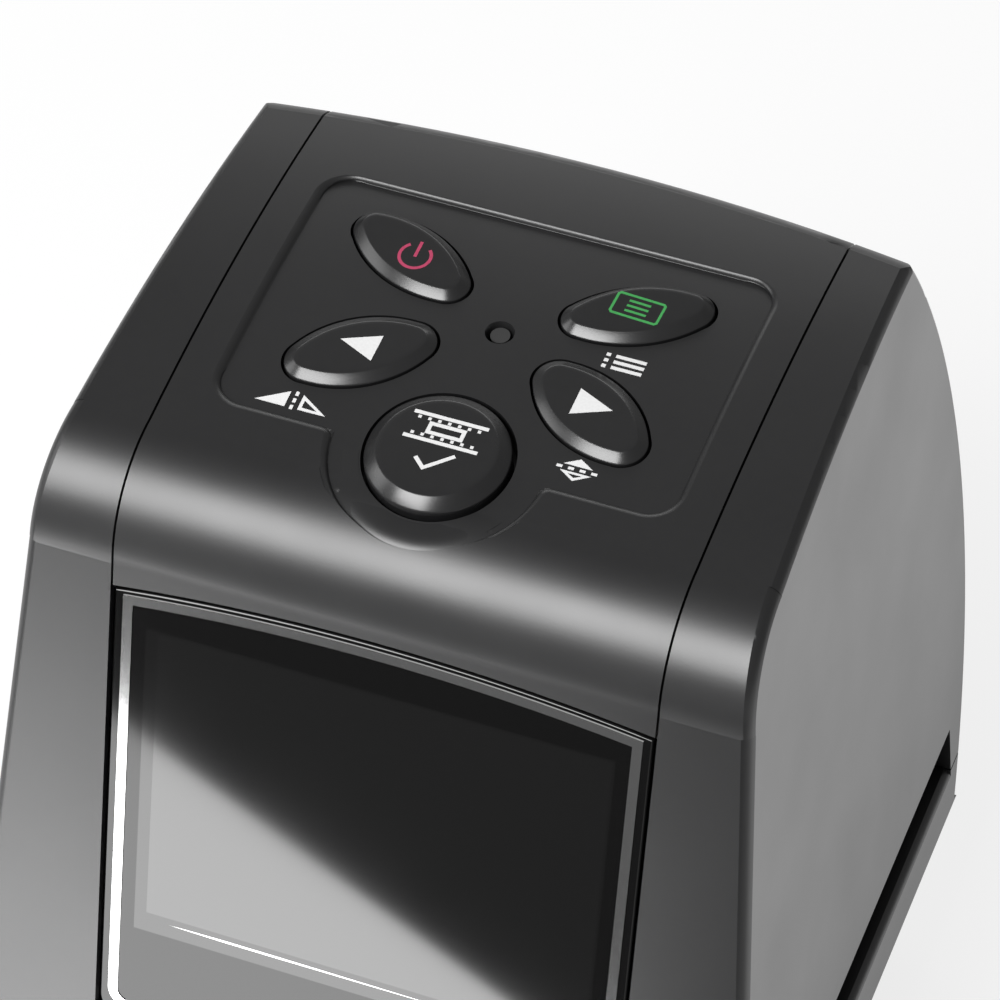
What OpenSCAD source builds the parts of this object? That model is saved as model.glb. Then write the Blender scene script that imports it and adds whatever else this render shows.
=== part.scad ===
// Table-top film scanner for 35 mm negatives, as it comes apart on a bench.
// Millimetres. +Z is up, +X is the user's right and -Y faces the user. The
// origin is the middle of the footprint, on the table.
//
// The outside is one form: a top that falls towards the user, a leaning front,
// a barrel-shaped back and flared sides. Its skins are cut from that form by
// two seams that run over the top, and by the parting line at the film slot.

/* [Housing] */
// Highest point of the top, above the table
body_h = 102.4; // [100:0.2:106]
// Width across the belt, the widest line of the base
body_w = 88; // [86:0.2:90]
// Height of the belt above the table
belt_z = 17.6; // [16:0.2:19]
// Wall thickness of the moulded skins
wall = 2.2; // [1.8:0.1:2.6]
// Width of the middle band between the two seams
band_w = 57.2; // [56.8:0.1:58]
// Width of the dark line at a seam
seam_gap = 0.25; // [0.15:0.05:0.4]
// Radius of the edges between the sides and the middle band
edge_r = 1.75; // [1:0.05:2]

/* [Curves] */
// Radius of the top, seen from the side
top_r = 171.5; // [150:0.5:200]
// Radius of the soft edge between top and front
front_blend_r = 11.8; // [9:0.1:14]
// Lean of the front, degrees from upright
front_lean = 11.12; // [9:0.02:13]
// Flare of the sides, degrees from upright
side_flare = 4.57; // [4:0.01:5]
// Taper of the sides towards the back, degrees
side_taper = 1.6; // [1:0.1:2]
// Radius of the back, seen from the side
back_r = 93.6; // [91:0.2:96]
// Radius of the back, seen from above
back_bow_r = 230; // [215:1:260]
// Radius of the edge between top and back
back_edge_r = 6; // [4:0.5:7]
// Undercut of the base below the belt, degrees
undercut = 14; // [10:0.5:16]

/* [Key panel] */
// Slope of the key panel, degrees, falling towards the user
panel_slope = 8.2; // [7.6:0.1:8.8]
// Depth of the sunk panel
panel_depth = 0.6; // [0.4:0.1:0.8]
// Width of the sunk panel
panel_w = 48; // [47:0.1:49]
// Height of the key tops over the panel
key_rise = 1.45; // [1.2:0.05:1.7]
// Half length of the oval keys
key_a = 7.7; // [7.2:0.1:7.8]
// Half width of the two keys at the back
back_key_b = 3.85; // [3.6:0.05:4]
// Half width of the two keys at the front
front_key_b = 4.25; // [4:0.05:4.4]
// Radius of the round scan key
scan_r = 7.4; // [7:0.1:7.5]
// Gap round every key
key_gap = 0.3; // [0.25:0.05:0.35]
// Travel of a key
key_travel = 0.5; // [0.3:0.05:0.6]

/* [Screen] */
// Width of the screen glass
glass_w = 56.7; // [56:0.1:56.8]
// Thickness of the screen glass
glass_t = 1.3; // [1:0.1:1.4]
// Width of the picture area of a 2.4 inch panel
picture_w = 48.96; // [48:0.02:49.2]
// Height of the picture area
picture_h = 36.72; // [36:0.02:37]
// Width of the bright line printed round the screen
line_w = 1.05; // [0.8:0.05:1.3]

/* [Film slot] */
// Length of the slot, front to back
slot_len = 62.5; // [61.5:0.1:62.8]
// Height of the slot
slot_h = 5.4; // [5:0.1:5.6]
// Height of the slot's floor above the table
slot_z = 23.2; // [22.8:0.1:23.6]
// Radius of the rounded lips of the slot
lip_r = 1.4; // [0.8:0.1:1.6]

/* [Hidden] */

$fn = 96;
big = 200;        // larger than the whole scanner
fine = 360;       // facets of the large radii

cover_black = [0.10, 0.10, 0.11];
key_black = [0.07, 0.07, 0.08];
metal = [0.72, 0.73, 0.75];
board_green = [0.10, 0.34, 0.20];
white_plastic = [0.90, 0.90, 0.88];
rubber_black = [0.05, 0.05, 0.05];
clear_glass = [0.15, 0.17, 0.19];
copper = [0.72, 0.45, 0.20];

// --- where the outer surfaces lie -------------------------------------------
panel_y = 1.14;                      // middle of the key panel, front to back
panel_z = body_h - 2.0;
top_y = 21.24;                       // where the top is highest
front_y = -30.76;                    // a point of the front face, at the glass's upper edge
front_z = 83.4;
back_y = 43.69;                      // rearmost point of the back
back_z = 49.2;                       // and its height
half_w = body_w / 2;
half_band = band_w / 2;
belt_front_y = front_y - (front_z - belt_z) * tan(front_lean);
bow_axis_y = back_y - back_bow_r;
back_ring_r = back_bow_r - back_r;   // ring radius of the barrel-shaped back

// --- heights of the parts inside ---------------------------------------------
slot_top = slot_z + slot_h;
parting_gap = 0.25;
plate_z = 2.0;
plate_t = 2.6;
tray_z = plate_z + plate_t + 0.2;
deck_t = 1.8;
gate_t = 1.8;
gate_z = slot_top;
tower_z = gate_z + gate_t;
board_t = 1.6;
sensor_z = 64;
main_z = 74;
rear_split_z = 88;
key_board_h = -8.6;                  // top of the key board, below the panel
gate_in = 3.6;                       // depth of the film gate's edge, clear of every tongue

// The keys: place on the panel and turn of each oval, for the right-hand half
back_key_at = [12.1, 6.6];
back_key_turn = 26;
front_key_at = [12.15, -6.8];
front_key_turn = -32;
scan_key_at = [0, -16.4];
lobe_r = 10.85;                      // round end of the sunk panel, about the scan key

// --- frames ---------------------------------------------------------------------
// The key panel's own frame: x right, y up the slope, z out of the panel
module panel_frame(h = 0) {
  translate([0, panel_y, panel_z]) rotate([panel_slope, 0, 0]) translate([0, 0, h]) children();
}

// The front's own frame: x right, y up the front, z towards the user
module front_frame(h = 0) {
  translate([0, front_y, front_z]) rotate([90 - front_lean, 0, 0]) translate([0, 0, h]) children();
}

// The right side's own frame: x back, y up, z out of the side face
module side_frame() {
  translate([half_w, belt_front_y, belt_z]) rotate([0, 0, side_taper]) rotate([0, -side_flare, 0])
    rotate([90, 0, 90]) children();
}

module both_sides() {
  children();
  mirror([1, 0, 0]) children();
}

// --- shared outlines -----------------------------------------------------------
// Oval of four arcs. The ends stand out by a hair, as the blend does.
module oval(a, b) {
  end_r = 0.62 * b;
  flank_r = (pow(a - end_r, 2) + b * b - end_r * end_r) / (2 * (b - end_r));
  drop = flank_r - b;
  reach = (a - end_r) * flank_r / (flank_r - end_r);
  intersection() {
    translate([0, -drop]) circle(flank_r, $fn = fine);
    translate([0, drop]) circle(flank_r, $fn = fine);
    square([2 * reach, 2 * b + 2], center = true);
  }
  for (s = [-1, 1]) translate([s * (a - 1.03 * end_r), 0]) circle(1.03 * end_r);
}

module rounded_rect(w, h, r) {
  square([w - 2 * r, h], center = true);
  square([w, h - 2 * r], center = true);
  for (sx = [-1, 1], sy = [-1, 1]) translate([sx * (w / 2 - r), sy * (h / 2 - r)]) circle(1.02 * r);
}

module block(x0, x1, y0, y1, z0, z1) {
  translate([x0, y0, z0]) cube([x1 - x0, y1 - y0, z1 - z0]);
}

// Waste of a corner that becomes round. The corner is at the origin, and its
// faces look along the directions a and b, in degrees.
module corner_waste(r, a, b) {
  na = [cos(a), sin(a)];
  nb = [cos(b), sin(b)];
  spread = 1 + na * nb;
  c = 0.95 * r;                      // a little under r, so that the arc crosses both faces
  centre = -c * (na + nb) / spread;
  difference() {
    polygon([centre, centre + (c + 1) * na, centre + (c + 1) * (na + nb) / spread, centre + (c + 1) * nb]);
    translate(centre) circle(r);
  }
}

// Waste along a straight edge from p to q between faces with normals na and nb
module edge_waste(p, q, na, nb, r) {
  d = (q - p) / norm(q - p);
  e = cross(d, na) / norm(cross(d, na));
  u = cross(e, d);
  multmatrix([[u.x, e.x, d.x, p.x], [u.y, e.y, d.y, p.y], [u.z, e.z, d.z, p.z], [0, 0, 0, 1]])
    linear_extrude(norm(q - p)) corner_waste(r, atan2(na * e, na * u), atan2(nb * e, nb * u));
}

// --- the outer form ---------------------------------------------------------------
function front_out() = [-cos(front_lean), sin(front_lean)];
function front_up() = [sin(front_lean), cos(front_lean)];
function top_centre() = [top_y, body_h - top_r];

// The blend stands out by a hair, so that it crosses its neighbours at a true edge
blend_reach = 0.994 * front_blend_r;
blend_turn = acos(0.994);

// Centre of the blend between top and front, as [y, z]
function blend_centre() =
  let (start = [front_y, front_z] - blend_reach * front_out(),
       gap = start - top_centre(),
       along = gap * front_up())
  start + front_up() * (-along + sqrt(along * along - gap * gap + pow(top_r - blend_reach, 2)));
function to_top() = (blend_centre() - top_centre()) / norm(blend_centre() - top_centre());
function blend_point(angle) = blend_centre() + front_blend_r * [cos(angle), sin(angle)];

// Side view of top, blend and front, moved inwards by t
module side_profile(t) {
  c = blend_centre();
  out = (blend_reach - t) * front_out();
  low = c - (120 + 2 * t) * front_up();
  floor_y = 70 + 2 * t;
  intersection() {
    translate(top_centre()) circle(top_r - t, $fn = fine);
    polygon([c, c + 30 * to_top(), [floor_y, 140], [floor_y, -20], low]);
  }
  translate(c) circle(front_blend_r - t);
  polygon([c, c + out, low + out, [floor_y, -40 - 2 * t], [floor_y, 0]]);
}

// Everything in front of the barrel-shaped back, moved inwards by t
module back_bound(t) {
  translate([0, bow_axis_y, 0]) rotate_extrude($fn = fine) {
    translate([back_ring_r, back_z]) circle(back_r - t, $fn = fine);
    translate([0, -80 - t]) square([back_ring_r, 260]);
  }
}

// Space between the two side faces, moved inwards by t
module side_bounds(t) {
  intersection() {
    side_frame() translate([-big / 2, -big / 2, -2 * big - t]) cube([2 * big, 2 * big, 2 * big]);
    mirror([1, 0, 0]) side_frame() translate([-big / 2, -big / 2, -2 * big - t]) cube([2 * big, 2 * big, 2 * big]);
  }
}

// Top and front, moved inwards by t, with neither back nor sides
module top_form(t) {
  rotate([90, 0, 90]) translate([0, 0, -big / 2 - t]) linear_extrude(big + 2 * t) side_profile(t);
}

module housing_form(t) {
  intersection() {
    top_form(t);
    back_bound(t);
    side_bounds(t);
  }
}

// The drawn-in walls below the belt, moved inwards by t
module undercut_bounds(t) {
  intersection() {
    translate([0, belt_front_y, belt_z]) rotate([undercut, 0, 0])
      translate([-big, t, -big]) cube([2 * big, 2 * big, 2 * big]);
    undercut_side(t);
    mirror([1, 0, 0]) undercut_side(t);
  }
}

module undercut_side(t) {
  translate([half_w, belt_front_y, belt_z]) rotate([0, 0, side_taper]) rotate([0, undercut, 0])
    translate([-2 * big - t, -big, -big]) cube([2 * big, 2 * big, 2 * big]);
}

module base_form(t) {
  intersection() {
    housing_form(t);
    undercut_bounds(t);
  }
}

// --- the rounded edges of the outer form --------------------------------------------
// A point of the outside, given as [y, z], in the side face's own frame
function on_side(p) =
  let (up = (p.y - belt_z) / cos(side_flare))
  [(p.x - belt_front_y + up * sin(side_flare) * sin(side_taper)) / cos(side_taper), up];

// Centre of the circle through three points
function circle_centre(a, b, c) =
  let (p = b - a, q = c - a, den = 2 * (p.x * q.y - p.y * q.x), pp = p * p, qq = q * q)
  a + [q.y * pp - p.y * qq, p.x * qq - q.x * pp] / den;

// Height of the top and depth of the back, at the side edges
function top_at(y) = body_h - top_r + sqrt(top_r * top_r - pow(y - top_y, 2));
function side_x(y, z) =
  half_w - (z - belt_z) * tan(side_flare) / cos(side_taper) - (y - belt_front_y) * tan(side_taper);
function back_at(z) =
  let (x = side_x(30, z), ring = back_ring_r + sqrt(back_r * back_r - pow(z - back_z, 2)))
  bow_axis_y + sqrt(ring * ring - x * x);

// Waste along an arc of the side edge through three points of it, run on by
// the angle more at both ends, so that it meets its neighbours
module side_arc_waste(a, b, c, turn, more) {
  centre = circle_centre(a, b, c);
  r = norm(a - centre);
  start = atan2(a.y - centre.y, a.x - centre.x);
  sweep = atan2(c.y - centre.y, c.x - centre.x) - start;
  translate(centre) rotate(min(start, start + sweep) - more)
    rotate_extrude(angle = abs(sweep) + 2 * more, $fn = fine)
      translate([r, 0]) corner_waste(edge_r, turn, 90);
}

module side_edge_waste() {
  front_turn = 180 - front_lean + blend_turn;
  top_turn = atan2(to_top().y, to_top().x) - blend_turn;
  front_low = on_side([belt_front_y, belt_z]);
  front_high = on_side(blend_point(front_turn));
  blend_mid = on_side(blend_point((front_turn + top_turn) / 2));
  blend_end = on_side(blend_point(top_turn));
  run = front_high - front_low;
  side_frame() {
    translate(front_low) rotate([-90, 0, atan2(run.y, run.x) - 90]) translate([0, 0, -0.3])
      linear_extrude(norm(run) + 0.5) mirror([0, 1]) mirror([1, 0]) corner_waste(edge_r, -0.7, 90);
    side_arc_waste(front_high, blend_mid, blend_end, 2.2, 1);
    side_arc_waste(blend_end, on_side([0, top_at(0)]), on_side([34, top_at(34)]), 4.4, 0.05);
    side_arc_waste(on_side([back_at(belt_z), belt_z]), on_side([back_at(back_z), back_z]),
                   on_side([back_at(104), 104]), 9.5, 0);
  }
}

// Waste along the edge between top and back
module back_edge_waste() {
  z = top_at(30);
  ring = back_ring_r + sqrt(back_r * back_r - pow(z - back_z, 2));
  top_dir = 90 - asin((bow_axis_y + ring - top_y) / top_r);
  back_dir = asin((z - back_z) / back_r);
  translate([0, bow_axis_y, 0]) rotate([0, 0, 75]) rotate_extrude(angle = 30, $fn = fine)
    translate([ring, z]) corner_waste(back_edge_r, back_dir, top_dir);
}

module round_edges() {
  difference() {
    children();
    both_sides() side_edge_waste();
    back_edge_waste();
  }
}

// --- walls and joints shared by the skins ---------------------------------------------
tongue_t = 1.2;                      // depth at which a tongue passes under its neighbour
tongue_end = wall + 0.6;             // depth of the tongue's inner face
rebate_t = 1.0;                      // depth to which that neighbour is cut back
seam_x = half_band - seam_gap / 2;   // edge of the middle band
side_x0 = half_band + seam_gap / 2;  // edge of the side shell
parting_z = slot_z + parting_gap;
side_out = [cos(side_flare) * cos(side_taper), cos(side_flare) * sin(side_taper), sin(side_flare)];
slot_y = 1.14;                       // middle of the slot and of the picture gate
slot_front = slot_y - slot_len / 2;
slot_back = slot_y + slot_len / 2;

// Wall between depths t0 and t1, only inside the given block
module wall_between(t0, t1, x0, x1, z0, z1) {
  difference() {
    intersection() {
      housing_form(t0);
      block(x0, x1, -60, 60, z0, z1);
    }
    housing_form(t1);
  }
}

module outer_wall(x0, x1, z0, z1) {
  difference() {
    round_edges() intersection() {
      housing_form(0);
      block(x0, x1, -60, 60, z0, z1);
    }
    housing_form(wall);
  }
}

// The middle band needs no rounding but that of its back edge
module band_wall(z0, z1) {
  difference() {
    intersection() {
      housing_form(0);
      block(-seam_x, seam_x, -60, 60, z0, z1);
    }
    back_edge_waste();
    housing_form(wall);
  }
}

// Everything in front of and below an arch over the screen
module below_arch(raise) {
  front_frame(-12) linear_extrude(24) intersection() {
    translate([0, 2.35 - arch_r]) circle(arch_r + raise, $fn = fine);
    translate([-40, -110]) square([80, 130]);
  }
}
arch_r = 216;
glass_low = -53.2;                   // lower edge of the glass, down the front
screen_at = [0, -21.9];              // middle of the picture area

module glass_outline(grow) {
  w = glass_w + 2 * grow;
  intersection() {
    translate([0, 2.35 - arch_r]) circle(arch_r + grow, $fn = fine);
    union() {
      translate([-w / 2, glass_low - grow + 3]) square([w, 70]);
      translate([-w / 2 + 3, glass_low - grow]) square([w - 6, 70]);
      for (s = [-1, 1]) translate([s * (w / 2 - 3), glass_low - grow + 3]) circle(3);
    }
  }
}

// --- key panel --------------------------------------------------------------------------
module panel_outline() {
  translate([0, -0.85]) rounded_rect(panel_w, 31.7, 3);
  translate(scan_key_at) circle(lobe_r);
}

// Puts a shape on each of the four oval keys' places
module at_key(index) {
  at = index < 2 ? back_key_at : front_key_at;
  turn = index < 2 ? back_key_turn : front_key_turn;
  side = index % 2 == 0 ? -1 : 1;
  translate([side * at.x, at.y]) rotate(side * turn) children();
}
function key_b(index) = index < 2 ? back_key_b : front_key_b;

collar_h = -2.85;                    // lower end of the collars round the keys
flange_h = -3.05;                    // top of a key's flange
stem_end = -5.3;                     // lower end of a key's stem

module key_openings(grow) {
  for (i = [0:3]) at_key(i) oval(key_a + grow, key_b(i) + grow);
  translate(scan_key_at) circle(scan_r + grow);
}

module oval_key(index) {
  color(key_black) panel_frame() at_key(index) {
    b = key_b(index);
    translate([0, 0, flange_h - 0.05]) linear_extrude(0.8 - flange_h + 0.05) oval(key_a, b);
    hull() {
      translate([0, 0, 0.6]) linear_extrude(0.05) oval(key_a - 0.01, b - 0.01, $fn = 48);
      translate([0, 0, 1.2]) linear_extrude(0.05) oval(key_a - 0.5, b - 0.5, $fn = 48);
      translate([0, 0, key_rise]) linear_extrude(0.05) oval(key_a - 1.1, b - 1.1, $fn = 48);
    }
    translate([0, 0, flange_h - 0.85]) linear_extrude(0.85) oval(key_a + 0.7, b + 0.7);
    translate([0, 0, stem_end]) cylinder(r = 1.5, h = 2);
  }
}

module power_key() { oval_key(0); }
module menu_key() { oval_key(1); }
module left_key() { oval_key(2); }
module right_key() { oval_key(3); }

module scan_key() {
  color(key_black) panel_frame() translate(scan_key_at) {
    rotate_extrude() {
      polygon([[0, flange_h - 0.1], [scan_r, flange_h - 0.1], [scan_r, 0.55], [scan_r - 0.35, 1.15],
               [scan_r - 0.85, key_rise], [scan_r - 1.25, key_rise + 0.12], [0, key_rise + 0.12]]);
      translate([0, flange_h - 0.85]) square([scan_r + 0.65, 0.85]);
      translate([0, stem_end]) square([1.5, 2]);
    }
  }
}

// --- skins ---------------------------------------------------------------------------------
board_boss_at = [[-22.3, 11], [22.3, 11], [-22.3, -15.5], [22.3, -15.5]];

module top_cover() {
  color(cover_black) difference() {
    union() {
      above_rear_split() band_wall(72, 120);
      // Tongues under the side shells and under the rear cover
      both_sides() above_rear_split() wall_between(tongue_t, tongue_end, half_band - 3, half_band + 1.5, 76, 120);
      difference() {
        wall_between(tongue_t, tongue_end, 3 - half_band, half_band - 3, rear_split_z - 2, rear_split_z + 2);
        block(-60, 60, -60, 0, 0, 120);
      }
      // Collars round the keys, and bosses for the key board
      intersection() {
        top_form(rebate_t);
        panel_frame() {
          translate([0, 0, collar_h]) linear_extrude(6) key_openings(1.2);
          for (at = board_boss_at) translate([at.x, at.y, key_board_h + 0.05]) cylinder(r = 2.4, h = 12);
        }
      }
    }
    below_arch(0.4);
    block(-60, 60, -60, -10, 0, 76);
    difference() {
      panel_frame(-6) linear_extrude(12) panel_outline();
      top_form(panel_depth);
    }
    panel_frame(-6) linear_extrude(12) key_openings(key_gap);
    panel_frame(-3) cylinder(r = 1.15, h = 6);
    panel_frame(-0.9) cylinder(r1 = 1.15, r2 = 1.6, h = 1.4);
    panel_frame(key_board_h - 1) for (at = board_boss_at) translate(at) cylinder(r = 0.8, h = 6);
  }
}

// Leaves out the back below the line where the rear cover begins
module above_rear_split() {
  difference() {
    children();
    block(-60, 60, 0, 60, 0, rear_split_z);
  }
}

module side_shell_right() {
  color(cover_black) difference() {
    union() {
      difference() {
        outer_wall(side_x0, 60, parting_z, 120);
        // Cut back for the tongues of the middle band
        intersection() {
          block(side_x0 - 1, side_x0 + 1.7, -60, 60, 0, 120);
          housing_form(rebate_t);
        }
      }
      shell_bosses();
    }
    slot_mouth();
    shell_screw_holes();
  }
}

module side_shell_left() { mirror([1, 0, 0]) side_shell_right(); }

// Mouth of the film slot in the right-hand shell, with its rounded lips
module slot_mouth() {
  block(20, 60, slot_front, slot_back, 0, slot_top);
  f = [side_x(slot_front, slot_top), slot_front, slot_top];
  b = [side_x(slot_back, slot_top), slot_back, slot_top];
  edge_waste(f, b, side_out, [0, 0, -1], lip_r);
  edge_waste([side_x(slot_front, slot_z - 1), slot_front, slot_z - 1], f, side_out, [0, 1, 0], lip_r);
}

// Bosses inside the right-hand shell: for the gate, the main board and the screen
gate_boss_at = [[36.2, -26.5], [34.8, 26.5]];
ledge_y = [-14, 28];
screen_boss_at = [[33.4, -7], [33.4, -37]];
ledge_z = main_z - 0.1;

module shell_bosses() {
  intersection() {
    housing_form(rebate_t);
    union() {
      for (at = gate_boss_at) {
        translate([at.x, at.y, tower_z + 0.1]) cylinder(r = 2.7, h = 8);
        block(at.x, 60, at.y - 0.8, at.y + 0.8, tower_z + 0.1, tower_z + 8.1);
      }
      for (y = ledge_y) block(27.5, 60, y - 3, y + 3, ledge_z - 3, ledge_z);
      front_frame(-6.25) for (at = screen_boss_at) translate(at) cylinder(r = 2.3, h = 8);
    }
  }
}

module shell_screw_holes() {
  for (at = gate_boss_at) translate([at.x, at.y, tower_z]) cylinder(r = 0.9, h = 7);
  for (y = ledge_y) translate([29.3, y, ledge_z - 4]) cylinder(r = 0.9, h = 6);
  front_frame(-7) for (at = screen_boss_at) translate(at) cylinder(r = 0.8, h = 5);
}

module rear_cover() {
  color(cover_black) difference() {
    union() {
      difference() {
        band_wall(parting_z, rear_split_z - seam_gap);
        block(-60, 60, -60, 0, 0, 120);
      }
      both_sides() difference() {
        wall_between(tongue_t, tongue_end, half_band - 3, half_band + 1.5, parting_z, rear_split_z - 3);
        block(-60, 60, -60, 0, 0, 120);
      }
    }
    // Cut back for the tongue of the top cover
    intersection() {
      block(-60, 60, 0, 60, rear_split_z - 2.3, rear_split_z + 1);
      housing_form(rebate_t);
    }
    // Openings for the two sockets
    block(usb_x - 4.6, usb_x + 4.6, 30, 60, main_z + board_t - 0.4, main_z + board_t + 4.8);
    block(card_x - 12.9, card_x + 12.9, 30, 60, main_z + board_t + 0.2, main_z + board_t + 3.3);
  }
}

module front_bezel() {
  color(cover_black) difference() {
    union() {
      // Chin below the glass, flush with the outside
      difference() {
        intersection() {
          housing_form(0);
          block(-seam_x, seam_x, -60, 0, parting_z, 60);
        }
        housing_form(wall);
        front_frame(-12) translate([-60, glass_low - 0.35, 0]) cube([120, 80, 24]);
      }
      // Plate behind the glass
      front_frame(-3.3) linear_extrude(1.8) intersection() {
        glass_outline(0.2);
        translate([-28.3, -80]) square([56.6, 120]);
      }
      front_frame(-3.3) translate([-28.3, glass_low - 3, 0]) cube([56.6, 6, 1.8]);
      // Tabs behind the side shells
      front_frame(-3.3) translate([-30.1, glass_low - 3, 0]) cube([60.2, 54.5, 0.95]);
    }
    front_frame(-6) translate([-screen_w / 2, screen_at.y - screen_h / 2, 0]) cube([screen_w, screen_h, 8]);
  }
}
screen_w = picture_w + 1.6;
screen_h = picture_h + 1.6;

// --- screen ----------------------------------------------------------------------------------
module screen_glass() {
  color(clear_glass) front_frame(-0.15 - glass_t) linear_extrude(glass_t) glass_outline(0);
}

module screen_line() {
  color(metal) front_frame(-0.15) linear_extrude(0.1) difference() {
    line_outline(0);
    line_outline(line_w);
  }
}

// The line's outline, moved inwards by t
module line_outline(t) {
  half = 27.35 - t;
  low = -51.35 + t;
  r = 2.4 - t;
  intersection() {
    translate([0, 1.7 - 220]) circle(220 - t, $fn = fine);
    union() {
      translate([-half, low + r]) square([2 * half, 70]);
      translate([-half + r, low]) square([2 * (half - r), 70]);
      for (s = [-1, 1]) translate([s * (half - r), low + r]) circle(r);
    }
  }
}

module lcd_panel() {
  color([0.06, 0.07, 0.08]) front_frame(-4.65) translate([-27.5, screen_at.y - 20.4, 0]) cube([55, 40, 1.25]);
}

module lcd_frame() {
  color(white_plastic) front_frame(-6.15) difference() {
    translate([-30.13, screen_at.y - 21.36, 0]) cube([60.26, 42.72, 2.75]);
    translate([-27.65, screen_at.y - 20.55, 1.4]) cube([55.3, 40.3, 2]);
    translate([-13, screen_at.y - 23, 0.8]) cube([26, 4, 1]);
  }
}

module lcd_bracket() {
  color(metal) front_frame(-7.1) difference() {
    union() {
      translate([-30, -43.5, 0]) cube([60, 42.5, 0.8]);
      for (at = screen_boss_at, s = [-1, 1]) {
        translate([s * at.x, at.y, 0]) cylinder(r = 2.4, h = 0.8);
        translate([s > 0 ? 29 : -at.x, at.y - 2.4, 0]) cube([at.x - 29, 4.8, 0.8]);
      }
    }
    for (at = screen_boss_at, s = [-1, 1]) translate([s * at.x, at.y, -1]) cylinder(r = 1.15, h = 3);
  }
}

module lcd_screws() {
  color(metal) front_frame(-7.1) for (at = screen_boss_at, s = [-1, 1]) translate([s * at.x, at.y, 0])
    mirror([0, 0, 1]) pan_screw(0.75, 1.9, 4.8);
}

// Screw with its head on the plane z = 0, head up, shank down
module pan_screw(r, head_r, length) {
  difference() {
    union() {
      translate([0, 0, 0.05]) cylinder(r = head_r, h = 1.1);
      translate([0, 0, -length]) cylinder(r = r, h = length + 0.1);
    }
    for (turn = [0, 90]) rotate(turn) translate([-head_r * 0.6, -0.2, 0.6]) cube([head_r * 1.2, 0.4, 1]);
  }
}

// Flat strip of width w along points given as [y, z]
module ribbon(points, w, t) {
  rotate([90, 0, 90]) translate([0, 0, -w / 2]) linear_extrude(w) {
    for (i = [0:len(points) - 2]) {
      step = points[i + 1] - points[i];
      translate(points[i]) rotate(atan2(step.y, step.x)) translate([0, -t / 2]) square([norm(step), t]);
    }
    for (p = points) translate(p) circle(t / 2, $fn = 24);
  }
}

function front_point(y, h) = [front_y, front_z] + y * front_up() + h * front_out();

module lcd_ribbon() {
  color(copper) ribbon([front_point(-42.6, -5.1), front_point(-45.2, -5.1), front_point(-45.2, -9.2),
                        front_point(-5.6, -9.2), [-18.3, main_z + board_t + 1.1]], 22, 0.3);
}

// --- boards -----------------------------------------------------------------------------------
module key_board() {
  color(board_green) panel_frame(key_board_h - 1.2) difference() {
    translate([-25, -20, 0]) cube([50, 34, 1.2]);
    for (at = board_boss_at) translate([at.x, at.y, -1]) cylinder(r = 1.1, h = 4);
  }
}

module key_screws() {
  color(metal) panel_frame(key_board_h - 1.2) for (at = board_boss_at) translate([at.x, at.y, 0])
    mirror([0, 0, 1]) pan_screw(0.7, 1.8, 5);
}

// A key meets its switch's plunger just past the end of its travel
module tact_switch() {
  plunger_end = stem_end - key_travel - 0.1;
  translate([-3, -3, key_board_h + 0.05]) cube([6, 6, 1.95]);
  translate([0, 0, key_board_h + 1.9]) cylinder(r = 1.6, h = plunger_end - key_board_h - 1.9);
}

module key_switches() {
  color(metal) panel_frame() {
    for (i = [0:3]) at_key(i) tact_switch();
    translate(scan_key_at) tact_switch();
  }
}

module light_pipe() {
  color(white_plastic) panel_frame(key_board_h + 0.05) {
    cylinder(r = 1.8, h = 2);
    cylinder(r = 1, h = 8.3);
  }
}

module key_ribbon() {
  color(copper) ribbon([[5, 89.9], [5, main_z + board_t + 1.5]], 12, 0.3);
  color(white_plastic) {
    block(-7.5, 7.5, 3.6, 6.4, main_z + board_t + 0.05, main_z + board_t + 2);
    panel_frame(key_board_h - 3.1) translate([-7.5, 1.6, 0]) cube([15, 2.8, 1.85]);
  }
}

usb_x = -15;
card_x = 11;
board_back = 34;

module main_board() {
  color(board_green) difference() {
    block(-31, 31, -18.5, board_back, main_z, main_z + board_t);
    board_screw_places() translate([0, 0, -1]) cylinder(r = 1.2, h = 4);
  }
}

module board_screw_places() {
  for (y = ledge_y, s = [-1, 1]) translate([s * 29.3, y, main_z]) children();
}

module board_screws() {
  color(metal) board_screw_places() translate([0, 0, board_t]) pan_screw(0.85, 1.9, 5.5);
}

module board_chips() {
  z = main_z + board_t + 0.05;
  color([0.08, 0.08, 0.09]) {
    block(-8, 4, -12, 0, z, z + 1.4);
    block(-20, -11, -10, 2, z, z + 1.1);
    block(10, 20, -11, -3, z, z + 1.1);
  }
  color(white_plastic) block(-12, 12, -18, -15.2, z, z + 2);
  color(metal) {
    translate([-22, 12, z]) cylinder(r = 3.2, h = 6.5);
    translate([-24, 22, z]) cylinder(r = 2.4, h = 5);
    translate([-12, 12, z]) cylinder(r = 2.4, h = 5);
  }
}

module usb_socket() {
  z = main_z + board_t + 0.05;
  color(metal) difference() {
    block(usb_x - 3.9, usb_x + 3.9, 28.3, 36.7, z, z + 4);
    block(usb_x - 3.4, usb_x + 3.4, 29.3, 40, z + 0.5, z + 3.5);
  }
  color(key_black) block(usb_x - 2.4, usb_x + 2.4, 29, 35.7, z + 1.6, z + 2.4);
}

module card_socket() {
  z = main_z + board_t + 0.05;
  color(metal) difference() {
    block(card_x - 14, card_x + 14, 7.3, 34.2, z, z + 3.4);
    block(card_x - 12.3, card_x + 12.3, 8.8, 40, z + 0.45, z + 2.95);
  }
}

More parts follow.
